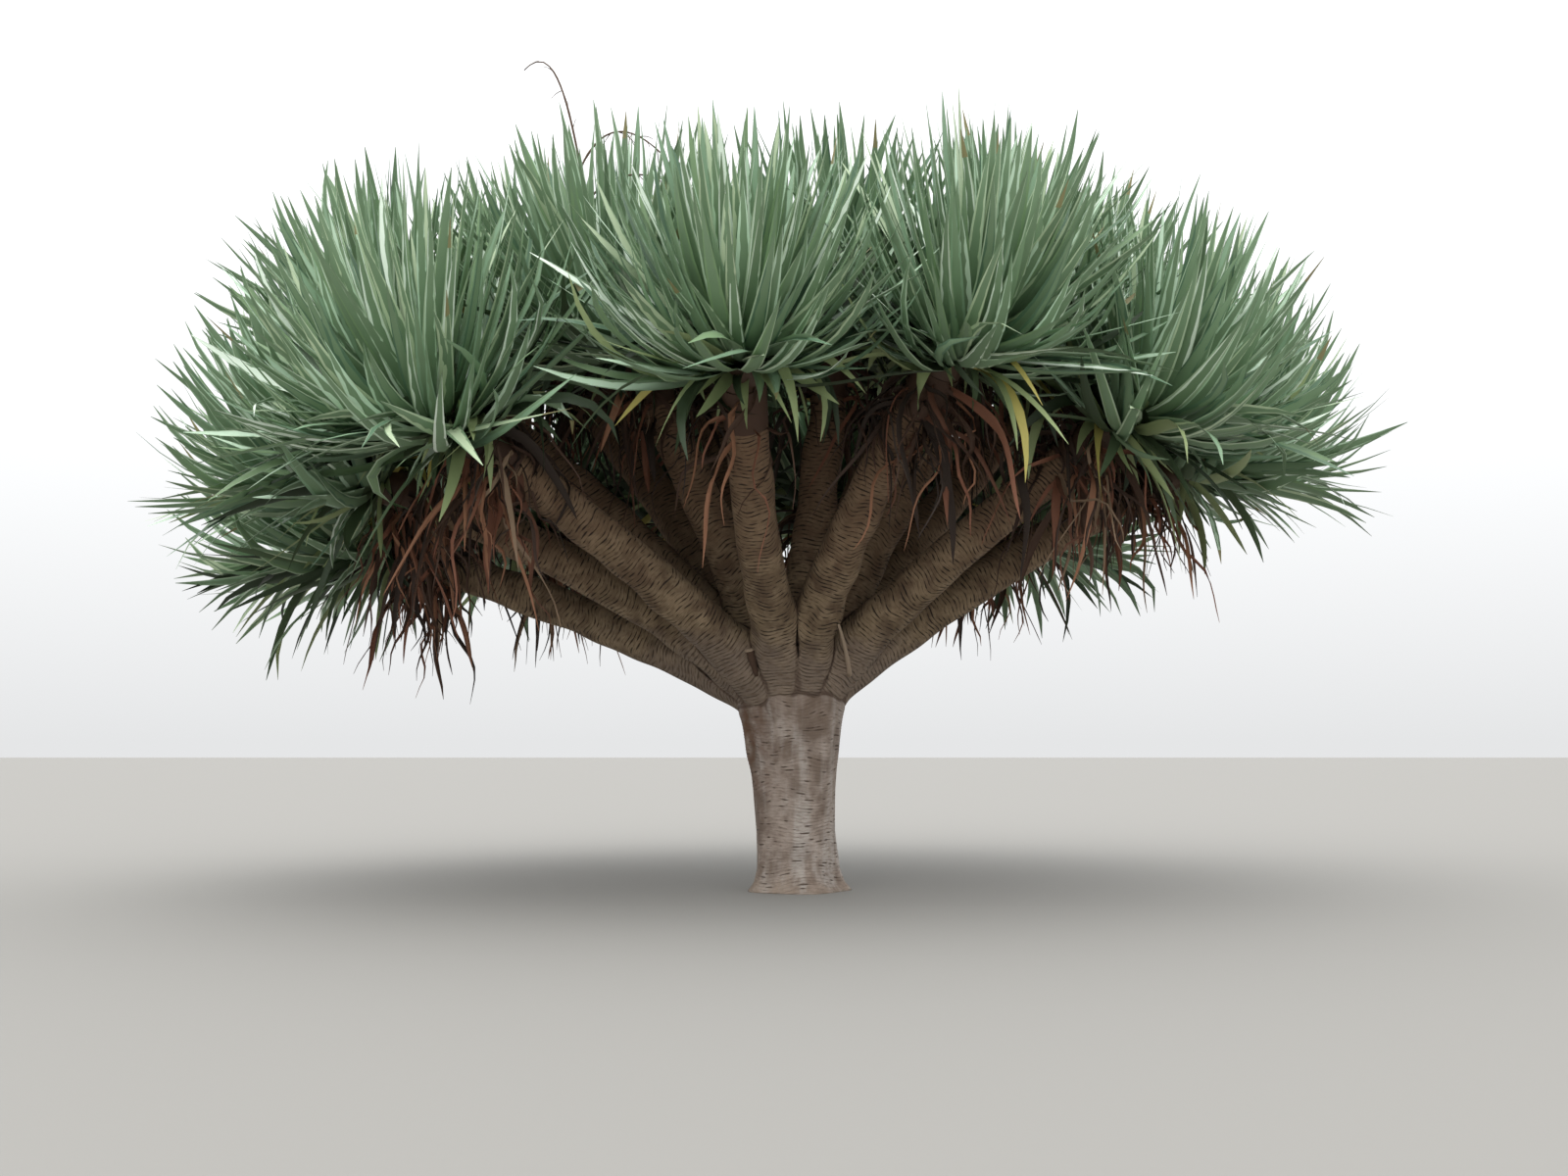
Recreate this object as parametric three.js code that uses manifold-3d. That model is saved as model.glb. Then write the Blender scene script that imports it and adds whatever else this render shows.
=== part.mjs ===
// A dragon tree: a short trunk forks into a fan of thick boughs, and each bough carries one
// rosette of sword leaves above a skirt of hanging dead leaves.
// Millimetres, +Z up. The origin is the middle of the trunk's flat cut on the ground.
import * as THREE from "three";
import { mergeVertices } from "three/addons/utils/BufferGeometryUtils.js";
import Module from "manifold-3d";

const wasm = await Module();
wasm.setup();

const UP = new THREE.Vector3(0, 0, 1);
const GOLDEN_ANGLE = Math.PI * (3 - Math.sqrt(5));

// Clearance between two pieces that meet.
const GAP = 0.3;

// The trunk, from the ground to the domed head that all boughs leave.
const TRUNK = {
  lean: new THREE.Vector3(-12, 0, 0),
  forkHeight: 585,
  headRadius: 152,
  waistRadius: 131,
  waistHeight: 190,
  footRadius: 168,
  footHeight: 70,
  footLobes: 5,
  lobeDepth: 9,
  sides: 20,
};

// A bough tapers from its base to its tip. It is squeezed by its neighbours near the fork.
const BOUGH = { baseRadius: 80, tipRadius: 60, sides: 10, segments: 5, squeezedLength: 600 };

// The stem above each bough: first the length that dead leaves hang from, then the leafy tip
// round the rosette's eye, where its leaves come together.
const STEM = { skirtLength: 140, belowEye: 95, aboveEye: 85, sides: 8 };
const STEM_RADIUS = { skirt: 66, leafy: 62, tip: 26 };

// A dead leaf stands off the stem, bends and hangs. None starts on top of a sloping stem.
const DEAD_LEAF = {
  count: 10,
  length: 350,
  shortest: 0.75,
  longest: 1.1,
  width: 70,
  thickness: 14,
  standOff: 28,
  dropToBend: 0.2,
  flare: 25,
  rootsFrom: 0.3,
  rootsTo: 0.75,
  steepestRoot: 0.55,
  unevenness: 0.3,
};

// A leaf is broadest where it bends. Its lean is measured from the way its rosette faces.
const LEAF = {
  count: 30,
  length: 690,
  shortest: 0.9,
  longest: 1.04,
  width: 96,
  thickness: 15,
  bendAt: 0.42,
  widestLean: 104,
  rootMargin: 40,
  lifts: [0.3, 0.55, 0.85, 1.2, 1.7, 2.4, 3.2],
  unevenness: 0.25,
};

// Room that leaves keep to a limb, and to the plane halfway to the next rosette.
const LIMB_ROOM = 12;
const CELL_ROOM = 2;

// How far a rosette turns upwards from the heading of its stem.
const FACING_UP = 0.45;

// Where each bough's rosette sits: its bearing about the fork in degrees (0 is +X, 90 is +Y),
// its distance out from the fork and its height over the ground. The middle of a bough stands
// off the straight line by rise, upwards, and by swing, sideways. Lowest is how steeply its
// leaves may point down, in degrees, and spring is how strongly they bend upwards. Leaf is
// their length where it isn't the usual one.
const BOUGHS = [
  {
    name: "front", bearing: -99, reach: 942, height: 1560, lowest: -14,
    rise: 10, swing: -35, spring: 0.45, leaf: 630,
  },
  {
    name: "front_right", bearing: -58, reach: 889, height: 1630, lowest: -14,
    rise: 20, swing: -70, spring: 0.45, leaf: 650,
  },
  { name: "right_front", bearing: -24, reach: 1120, height: 1478, lowest: -22, spring: 0.4 },
  { name: "right", bearing: 4, reach: 1340, height: 1419, lowest: -24, spring: 0.4, leaf: 670 },
  { name: "upper_right", bearing: 29, reach: 1170, height: 1870, lowest: -30, spring: 0.3 },
  { name: "back_right", bearing: 48, reach: 1245, height: 1320, lowest: -60, spring: 0.25 },
  { name: "back", bearing: 83, reach: 1240, height: 1430, lowest: -60, spring: 0.25 },
  { name: "back_left", bearing: 110, reach: 1240, height: 1410, lowest: -60, spring: 0.25 },
  { name: "left_back", bearing: 138, reach: 1346, height: 1260, lowest: -60, spring: 0.15 },
  { name: "left_low", bearing: 168, reach: 1475, height: 1156, lowest: -45, spring: 0.1 },
  {
    name: "left", bearing: -168, reach: 1375, height: 1310, lowest: -28,
    rise: 75, spring: 0.25,
  },
  { name: "front_left", bearing: -143, reach: 1256, height: 1404, lowest: -22, spring: 0.3 },
  {
    name: "upper_front", bearing: -155, reach: 590, height: 1770, lowest: -35,
    rise: 10, spring: 0.35,
  },
  { name: "upper_left", bearing: 153, reach: 994, height: 1890, lowest: -50, spring: 0.2 },
  {
    name: "upper_back", bearing: 122, reach: 703, height: 1920, lowest: -60,
    rise: 20, spring: 0.2,
  },
  { name: "centre", bearing: -12, reach: 150, height: 1860, lowest: -60, rise: 0, spring: 0.1 },
  { name: "upper_back_right", bearing: 60, reach: 900, height: 1880, lowest: -60, spring: 0.2 },
  {
    name: "upper_far_left", bearing: 177, reach: 1290, height: 1770, lowest: -30,
    rise: 60, spring: 0.2,
  },
  {
    name: "upper_middle", bearing: -5, reach: 640, height: 1830, lowest: -50,
    rise: 10, spring: 0.1,
  },
];
const USUAL_RISE = 40;

// The old flower stalk that stands out of one rosette and hooks over at its end.
const STALK = {
  rosette: "upper_front",
  height: 793,
  hookHeight: 980,
  drift: -297,
  straightness: 0.32,
  hookStart: 0.45,
  baseRadius: 7,
  tipRadius: 3.5,
  shoots: [
    { from: 0.52, reach: 260, height: 120 },
    { from: 0.4, reach: 330, height: 90 },
  ],
};

const COLOURS = {
  trunkBark: 0x8c7d76,
  boughBark: 0x6b5546,
  leaf: 0x5f8571,
  dryLeaf: 0x8a4f38,
  stalk: 0x5d4a3c,
};

const head = new THREE.Vector3(0, 0, TRUNK.forkHeight).add(TRUNK.lean);

// A repeatable stream of numbers from 0 to 1.
function seededRandom(seed) {
  let state = seed;
  return () => {
    state = (state * 1664525 + 1013904223) % 4294967296;
    return state / 4294967296;
  };
}

function mix(a, b, t) {
  return a + (b - a) * t;
}

// Closed geometry as a solid, with shared vertices merged and its faces pointing out.
function solidFrom(geometry) {
  const bare = geometry.index ? geometry.toNonIndexed() : geometry.clone();
  bare.deleteAttribute("normal");
  bare.deleteAttribute("uv");
  const merged = mergeVertices(bare, 1e-3);
  const points = merged.attributes.position.array;
  const faces = withoutSlivers(Array.from(merged.index.array));
  const facingOut = signedVolume(points, faces) > 0 ? faces : faces.reverse();
  const mesh = new wasm.Mesh({
    numProp: 3,
    vertProperties: Float32Array.from(points),
    triVerts: Uint32Array.from(facingOut),
  });
  return new wasm.Manifold(mesh);
}

// Triangles whose corners are all different.
function withoutSlivers(faces) {
  const kept = [];
  for (let i = 0; i < faces.length; i += 3) {
    const [a, b, c] = faces.slice(i, i + 3);
    if (a !== b && b !== c && c !== a) kept.push(a, b, c);
  }
  return kept;
}

function signedVolume(points, faces) {
  const corner = (index) => new THREE.Vector3().fromArray(points, index * 3);
  let total = 0;
  for (let i = 0; i < faces.length; i += 3) {
    total += corner(faces[i]).dot(corner(faces[i + 1]).cross(corner(faces[i + 2])));
  }
  return total / 6;
}

// The largest connected body of a solid. Loose scraps and sealed hollows are left out.
function largestBody(solid) {
  const bodies = solid.decompose();
  return bodies.reduce((best, body) => (body.volume() > best.volume() ? body : best));
}

function meshFrom(solid, name, colour, roughness) {
  const result = solid.getMesh();
  const geometry = new THREE.BufferGeometry();
  geometry.setAttribute("position", new THREE.BufferAttribute(result.vertProperties, 3));
  geometry.setIndex(new THREE.BufferAttribute(result.triVerts, 1));
  geometry.computeVertexNormals();
  const material = new THREE.MeshStandardMaterial({ color: colour, roughness, metalness: 0 });
  const mesh = new THREE.Mesh(geometry, material);
  mesh.name = name;
  return mesh;
}

// The trunk's outline turned round its axis, leaning, with shallow lobes at the foot.
// A positive allowance makes it larger all over.
function trunkSolid(allowance) {
  const { forkHeight, headRadius, waistRadius, waistHeight, footRadius, footHeight } = TRUNK;
  const outline = [
    [0, 0],
    [footRadius, 0],
    [mix(footRadius, waistRadius, 0.55), footHeight * 0.4],
    [mix(footRadius, waistRadius, 0.85), footHeight],
    [waistRadius, waistHeight],
    [mix(waistRadius, headRadius, 0.2), mix(waistHeight, forkHeight, 0.35)],
    [mix(waistRadius, headRadius, 0.7), mix(waistHeight, forkHeight, 0.72)],
  ];
  const domeSteps = 5;
  for (let step = 0; step <= domeSteps; step += 1) {
    const angle = (step / domeSteps) * (Math.PI / 2);
    outline.push([headRadius * Math.cos(angle), forkHeight + headRadius * Math.sin(angle)]);
  }
  const profile = outline.map(([radius, height], index) => {
    const isOnAxis = index === 0 || index === outline.length - 1;
    const rise = height > forkHeight ? (allowance * (height - forkHeight)) / headRadius : 0;
    return new THREE.Vector2(isOnAxis ? 0 : radius + allowance, height + rise);
  });
  const geometry = new THREE.LatheGeometry(profile, TRUNK.sides);
  geometry.rotateX(Math.PI / 2);
  const position = geometry.attributes.position;
  for (let i = 0; i < position.count; i += 1) {
    const point = new THREE.Vector3().fromBufferAttribute(position, i);
    const low = Math.max(0, 1 - point.z / waistHeight);
    const turn = Math.atan2(point.y, point.x);
    const lobe = 1 + (TRUNK.lobeDepth / footRadius) * low * Math.cos(TRUNK.footLobes * turn);
    const along = Math.min(1, point.z / forkHeight);
    position.setXYZ(
      i,
      point.x * lobe + TRUNK.lean.x * along,
      point.y * lobe + TRUNK.lean.y * along,
      point.z,
    );
  }
  return solidFrom(geometry);
}

// The line that a bough and its stem follow, with the rosette's eye and the way its leaves face.
function limbLine({ rise = USUAL_RISE, swing = 0, leaf = LEAF.length, ...place }) {
  const { name, bearing, reach, height } = place;
  const turn = THREE.MathUtils.degToRad(bearing);
  const eye = new THREE.Vector3(reach * Math.cos(turn), reach * Math.sin(turn), 0).add(head);
  eye.z = height;
  const chord = eye.clone().sub(head);
  const outward = new THREE.Vector3(chord.x, chord.y, 0).normalize();
  const side = new THREE.Vector3().crossVectors(UP, chord).normalize();
  const lifted = new THREE.Vector3().crossVectors(chord, side).normalize();
  const middle = head.clone().addScaledVector(chord, 0.5);
  middle.addScaledVector(lifted, 2 * rise).addScaledVector(side, 2 * swing);
  const tipHeading = eye.clone().sub(middle).normalize();
  const tip = eye.clone().addScaledVector(tipHeading, STEM.aboveEye);
  const curve = new THREE.QuadraticBezierCurve3(head, middle, tip);
  curve.arcLengthDivisions = 400;
  const length = curve.getLength();
  const eyeAt = length - STEM.aboveEye;
  const joint = eyeAt - STEM.belowEye;
  const boughEnd = joint - STEM.skirtLength;
  const heading = curve.getTangentAt(joint / length);
  const aim = heading.clone().addScaledVector(UP, FACING_UP).normalize();
  const lowest = THREE.MathUtils.degToRad(place.lowest);
  const { spring } = place;
  const places = { curve, length, eye, joint, boughEnd };
  return { name, ...places, side, outward, heading, aim, lowest, spring, leaf };
}

function pointAlong(line, distance) {
  return line.curve.getPointAt(Math.min(1, distance / line.length));
}

// A round limb along a line from one distance to another, closed by flat ends.
function limbSolid(line, from, to, radiusAt, sides, segments) {
  const profile = [new THREE.Vector2(0, from)];
  for (let step = 0; step <= segments; step += 1) {
    const distance = mix(from, to, step / segments);
    profile.push(new THREE.Vector2(radiusAt(distance), distance));
  }
  profile.push(new THREE.Vector2(0, to));
  const geometry = new THREE.LatheGeometry(profile, sides);
  const position = geometry.attributes.position;
  for (let i = 0; i < position.count; i += 1) {
    const local = new THREE.Vector3().fromBufferAttribute(position, i);
    const heading = line.curve.getTangentAt(Math.min(1, local.y / line.length));
    const across = new THREE.Vector3().crossVectors(heading, line.side).normalize();
    const flat = new THREE.Vector3().crossVectors(across, heading);
    const point = pointAlong(line, local.y);
    point.addScaledVector(flat, local.x).addScaledVector(across, -local.z);
    position.setXYZ(i, point.x, point.y, point.z);
  }
  return solidFrom(geometry);
}

function boughRadiusAt(line, distance) {
  return mix(BOUGH.baseRadius, BOUGH.tipRadius, distance / line.boughEnd);
}

// The side of the plane through the fork, halfway between two boughs, that the second one is on.
function neighbourSide(line, other) {
  const probe = 300;
  const own = pointAlong(line, probe).sub(head).normalize();
  const theirs = pointAlong(other, probe).sub(head).normalize();
  const normal = theirs.sub(own).normalize();
  const size = BOUGH.squeezedLength;
  const geometry = new THREE.BoxGeometry(2 * size, 2 * size, size);
  geometry.translate(0, 0, size / 2 - GAP / 2);
  geometry.applyQuaternion(new THREE.Quaternion().setFromUnitVectors(UP, normal));
  geometry.translate(head.x, head.y, head.z);
  return solidFrom(geometry);
}

// A bough: its base fits against the trunk's head and against the boughs beside it.
function boughSolid(line, lines, headAllowance) {
  const radiusAt = (distance) => boughRadiusAt(line, distance);
  const { sides, segments } = BOUGH;
  let solid = limbSolid(line, 0, line.boughEnd, radiusAt, sides, segments);
  for (const other of lines) {
    if (other !== line) solid = solid.subtract(neighbourSide(line, other));
  }
  return largestBody(solid.subtract(headAllowance));
}

// A flat three-edged blade that bends once: keel below, flat side towards upper.
function bladeSolid({ root, bend, tip, width, thickness, upper }) {
  const profile = [
    new THREE.Vector2(0, 0),
    new THREE.Vector2(1, 1),
    new THREE.Vector2(0, 2),
  ];
  const geometry = new THREE.LatheGeometry(profile, 3);
  const corners = bladeRing({ root, bend, tip, width, thickness, upper });
  const position = geometry.attributes.position;
  for (let i = 0; i < position.count; i += 1) {
    const level = Math.round(position.getY(i));
    const turn = Math.atan2(position.getX(i), position.getZ(i));
    const corner = Math.round((turn + 2 * Math.PI) / ((2 * Math.PI) / 3)) % 3;
    const point = [root, corners[corner], tip][level];
    position.setXYZ(i, point.x, point.y, point.z);
  }
  return solidFrom(geometry);
}

// The keel and the two edges of a blade where it is widest.
function bladeRing({ root, bend, tip, width, thickness, upper }) {
  const along = tip.clone().sub(root).normalize();
  const edgeways = new THREE.Vector3().crossVectors(along, upper).normalize();
  const outward = new THREE.Vector3().crossVectors(along, edgeways).normalize();
  const flat = bend.clone().addScaledVector(outward, -thickness / 2);
  return [
    bend.clone().addScaledVector(outward, thickness / 2),
    flat.clone().addScaledVector(edgeways, width / 2),
    flat.clone().addScaledVector(edgeways, -width / 2),
  ];
}

// Whether every given point lies in the space of one rosette, halfway to each of the others.
function isInCell(line, lines, points) {
  for (const other of lines) {
    if (other === line) continue;
    const towards = other.eye.clone().sub(line.eye);
    const half = towards.length() / 2 - CELL_ROOM;
    towards.normalize();
    for (const point of points) {
      if (point.clone().sub(line.eye).dot(towards) > half) return false;
    }
  }
  return true;
}

// How far in front of the joint between skirt and rosette a point lies.
function beyondJoint(line, point) {
  return point.clone().sub(pointAlong(line, line.joint)).dot(line.heading);
}

// Straight stretches of a limb with their radius, for measuring distances.
function limbStretches(line) {
  const steps = 16;
  const stretches = [];
  for (let step = 0; step < steps; step += 1) {
    const from = pointAlong(line, (line.length * step) / steps);
    const to = pointAlong(line, (line.length * (step + 1)) / steps);
    const distance = (line.length * step) / steps;
    stretches.push({
      segment: new THREE.Line3(from, to),
      radius: distance > line.boughEnd ? STEM_RADIUS.skirt : boughRadiusAt(line, distance),
      line,
    });
  }
  return stretches;
}

// Whether a blade keeps clear of the limbs it is tested against.
function isClearOfLimbs({ root, bend, tip, width }, stretches, room) {
  const near = new THREE.Vector3();
  const samples = [0.45, 0.7, 1, 1.25, 1.5, 1.75, 2].map((at) => ({
    point: at < 1 ? root.clone().lerp(bend, at) : bend.clone().lerp(tip, at - 1),
    reach: (width / 2) * (at < 1 ? at : 2 - at),
  }));
  return stretches.every(({ segment, radius }) =>
    samples.every(({ point, reach }) => {
      segment.closestPointToPoint(point, true, near);
      return near.distanceTo(point) > radius + room + reach * 0.7;
    }),
  );
}

// Leaves in a spiral up the stem: the youngest stand up round the middle, older ones lie lower.
// All bend upwards a little, apart from those that lean in over the middle of the tree. A leaf
// that would leave the rosette's space or point down too steeply is lifted until it fits, or
// else left out.
function rosetteLeaves(line, lines, stretches, random) {
  const others = stretches.filter((stretch) => stretch.line !== line);
  const sideways = new THREE.Vector3().crossVectors(line.aim, line.side).normalize();
  const widest = Math.cos(THREE.MathUtils.degToRad(LEAF.widestLean));
  const leaves = [];
  for (let index = 0; index < LEAF.count; index += 1) {
    const age = (index + 0.5) / LEAF.count;
    const lean = Math.acos(1 - age * (1 - widest));
    const turn = index * GOLDEN_ANGLE + LEAF.unevenness * (random() - 0.5);
    const spread = line.side.clone().multiplyScalar(Math.cos(turn));
    spread.addScaledVector(sideways, Math.sin(turn));
    const heading = line.aim.clone().multiplyScalar(Math.cos(lean));
    heading.addScaledVector(spread, Math.sin(lean));
    const rootAt = mix(line.length - LEAF.rootMargin, line.joint + LEAF.rootMargin, age);
    const root = pointAlong(line, rootAt);
    const length = line.leaf * mix(LEAF.shortest, LEAF.longest, random());
    const inward = THREE.MathUtils.smoothstep(-heading.dot(line.outward), 0, 0.5);
    for (const lift of [line.spring * (1 - inward), ...LEAF.lifts]) {
      const leaf = leafShape(root, heading, lift, length, line.aim);
      const points = [...bladeRing(leaf), leaf.tip];
      const isBeyond = points.every((point) => beyondJoint(line, point) > GAP);
      const isInside = isRaised(line, leaf) && isInCell(line, lines, points);
      if (isBeyond && isInside && isClearOfLimbs(leaf, others, LIMB_ROOM)) {
        leaves.push(leaf);
        break;
      }
    }
  }
  return leaves;
}

// Whether a leaf points no more steeply down than its rosette allows.
function isRaised(line, { root, tip }) {
  return tip.clone().sub(root).normalize().z > Math.sin(line.lowest);
}

function leafShape(root, heading, lift, length, aim) {
  const first = heading.clone().addScaledVector(UP, lift * 0.4).normalize();
  const last = heading.clone().addScaledVector(UP, lift * 1.1).normalize();
  const bend = root.clone().addScaledVector(first, length * LEAF.bendAt);
  const tip = bend.clone().addScaledVector(last, length * (1 - LEAF.bendAt));
  const upper = aim.clone().addScaledVector(UP, 0.2);
  return { root, bend, tip, width: LEAF.width, thickness: LEAF.thickness, upper };
}

// Dead leaves hang from the stem under the rosette, all round it but not across its top.
function skirtBlades(line, lines, stretches, bough, random) {
  const across = new THREE.Vector3().crossVectors(line.heading, line.side).normalize();
  const others = stretches.filter((stretch) => stretch.line !== line);
  const blades = [];
  for (let index = 0; index < DEAD_LEAF.count; index += 1) {
    const wobble = DEAD_LEAF.unevenness * (random() - 0.5);
    const turn = (index / DEAD_LEAF.count) * 2 * Math.PI + wobble;
    const outward = line.side.clone().multiplyScalar(Math.cos(turn));
    outward.addScaledVector(across, Math.sin(turn));
    const rootPart = mix(DEAD_LEAF.rootsFrom, DEAD_LEAF.rootsTo, random());
    const root = pointAlong(line, line.boughEnd + STEM.skirtLength * rootPart);
    const length = DEAD_LEAF.length * mix(DEAD_LEAF.shortest, DEAD_LEAF.longest, random());
    const blade = hangingBlade(root, outward, length);
    const points = [...bladeRing(blade), blade.tip];
    const isBelow = points.every((point) => beyondJoint(line, point) < -GAP);
    const isFree = isClearOfLimbs(blade, others, LIMB_ROOM) && isClearOfBough(blade, bough);
    const isAside = outward.z < DEAD_LEAF.steepestRoot;
    if (isAside && isBelow && isFree && isInCell(line, lines, points)) blades.push(blade);
  }
  return blades;
}

function hangingBlade(root, outward, length) {
  const { standOff, dropToBend, flare, width, thickness } = DEAD_LEAF;
  const bend = root.clone().addScaledVector(outward, STEM_RADIUS.skirt + standOff);
  bend.addScaledVector(UP, -dropToBend * length);
  const away = new THREE.Vector3(outward.x, outward.y, 0).normalize();
  const tip = bend.clone().addScaledVector(UP, (dropToBend - 1) * length);
  tip.addScaledVector(away, flare);
  return { root, bend, tip, width, thickness, upper: outward };
}

// Whether a hanging blade keeps clear of the bough that carries its stem.
function isClearOfBough(blade, bough) {
  return bladeSolid(blade).minGap(bough, 2 * CELL_ROOM) > CELL_ROOM;
}

function stemRadiusAt(line, distance) {
  const part = (distance - line.joint) / (line.length - line.joint);
  return mix(STEM_RADIUS.leafy, STEM_RADIUS.tip, part * part);
}

function fuse(stem, blades) {
  return largestBody(wasm.Manifold.union([stem, ...blades.map(bladeSolid)]));
}

function rosetteSolid(line, lines, stretches, random) {
  const radiusAt = (distance) => stemRadiusAt(line, distance);
  const stem = limbSolid(line, line.joint + GAP, line.length, radiusAt, STEM.sides, 2);
  return fuse(stem, rosetteLeaves(line, lines, stretches, random));
}

function skirtSolid(line, lines, stretches, bough, random) {
  const radiusAt = () => STEM_RADIUS.skirt;
  const stem = limbSolid(line, line.boughEnd + GAP, line.joint, radiusAt, STEM.sides, 1);
  return fuse(stem, skirtBlades(line, lines, stretches, bough, random));
}

// The flower stalk as limb lines: the stalk itself, then the thin shoots that arch off it.
function stalkLines(lines) {
  const line = lines.find(({ name }) => name === STALK.rosette);
  const heading = line.curve.getTangentAt(1);
  const foot = pointAlong(line, line.length).addScaledVector(heading, GAP);
  const start = foot.clone().addScaledVector(heading, STALK.height * STALK.straightness);
  const at = (x, z) => new THREE.Vector3(foot.x + x, start.y, foot.z + z);
  const curve = new THREE.CubicBezierCurve3(
    foot,
    start,
    at(STALK.drift * STALK.hookStart, STALK.hookHeight),
    at(STALK.drift, STALK.height),
  );
  const side = new THREE.Vector3(0, 1, 0);
  const stalk = { curve, length: curve.getLength(), side, from: STALK.baseRadius };
  const shoots = STALK.shoots.map(({ from, reach, height }) => {
    const fork = curve.getPointAt(from);
    const top = fork.clone().add(new THREE.Vector3(reach * 0.35, 0, height * 1.8));
    const end = fork.clone().add(new THREE.Vector3(reach, 0, height * 0.4));
    const arc = new THREE.QuadraticBezierCurve3(fork, top, end);
    return { curve: arc, length: arc.getLength(), side, from: STALK.tipRadius + 1 };
  });
  return [stalk, ...shoots];
}

function stalkSolid(stalks) {
  const solids = stalks.map((stalk) => {
    const radiusAt = (distance) => mix(stalk.from, STALK.tipRadius, distance / stalk.length);
    return limbSolid(stalk, 0, stalk.length, radiusAt, 5, 9);
  });
  return largestBody(wasm.Manifold.union(solids));
}

function stalkStretches(stalks) {
  return stalks.flatMap((stalk) => {
    const points = stalk.curve.getSpacedPoints(9);
    return points.slice(1).map((point, index) => ({
      segment: new THREE.Line3(points[index], point),
      radius: STALK.baseRadius,
      line: stalk,
    }));
  });
}

const tree = new THREE.Group();
const lines = BOUGHS.map(limbLine);
const stalks = stalkLines(lines);
const stretches = [...lines.flatMap(limbStretches), ...stalkStretches(stalks)];
const headAllowance = trunkSolid(GAP);

tree.add(meshFrom(trunkSolid(0), "trunk", COLOURS.trunkBark, 0.9));
lines.forEach((line, index) => {
  const random = seededRandom(1000 + index);
  const bough = boughSolid(line, lines, headAllowance);
  const skirt = skirtSolid(line, lines, stretches, bough, random);
  const rosette = rosetteSolid(line, lines, stretches, random);
  tree.add(meshFrom(bough, `bough_${line.name}`, COLOURS.boughBark, 0.85));
  tree.add(meshFrom(skirt, `dry_leaves_${line.name}`, COLOURS.dryLeaf, 0.8));
  tree.add(meshFrom(rosette, `leaves_${line.name}`, COLOURS.leaf, 0.55));
});
tree.add(meshFrom(stalkSolid(stalks), "flower_stalk", COLOURS.stalk, 0.9));

export default tree;
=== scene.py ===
"""A dragon tree: its leaves, dead leaves, bark and flower stalk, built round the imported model.

Metres, +Z up. The origin is the middle of the trunk's flat cut on the ground. The limbs and
the rule that the leaves grow by are those of the model, and the leaves here are finer.
"""

import math

import bpy
import numpy as np
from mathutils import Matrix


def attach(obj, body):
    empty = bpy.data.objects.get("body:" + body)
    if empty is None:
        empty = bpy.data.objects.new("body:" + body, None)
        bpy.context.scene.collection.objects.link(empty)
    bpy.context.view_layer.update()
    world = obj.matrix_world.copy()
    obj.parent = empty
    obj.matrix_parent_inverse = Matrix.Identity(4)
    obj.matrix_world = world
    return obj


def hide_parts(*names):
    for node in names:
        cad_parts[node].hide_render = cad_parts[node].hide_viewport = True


UP = np.array([0.0, 0.0, 1.0])
GOLDEN_ANGLE = math.pi * (3 - math.sqrt(5))

# The trunk, from the ground to the domed head that all boughs leave.
FORK_HEIGHT = 0.585
TRUNK_LEAN = -0.012
HEAD_RADIUS = 0.152
WAIST_RADIUS = 0.131
WAIST_HEIGHT = 0.190
FOOT_RADIUS = 0.168
FOOT_HEIGHT = 0.070
FOOT_LOBES = 5
LOBE_DEPTH = 0.009
HEAD = np.array([TRUNK_LEAN, 0.0, FORK_HEIGHT])

# A bough tapers from its base to its tip. Above it come the skirt that dead leaves hang from
# and the leafy tip round the rosette's eye.
BOUGH_BASE_RADIUS = 0.080
BOUGH_TIP_RADIUS = 0.060
SKIRT_LENGTH = 0.140
BELOW_EYE = 0.095
ABOVE_EYE = 0.085
SKIRT_RADIUS = 0.066
LEAFY_RADIUS = 0.062
STEM_TIP_RADIUS = 0.026
STEM_RINGS = 8
STEM_SIDES = 16

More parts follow.
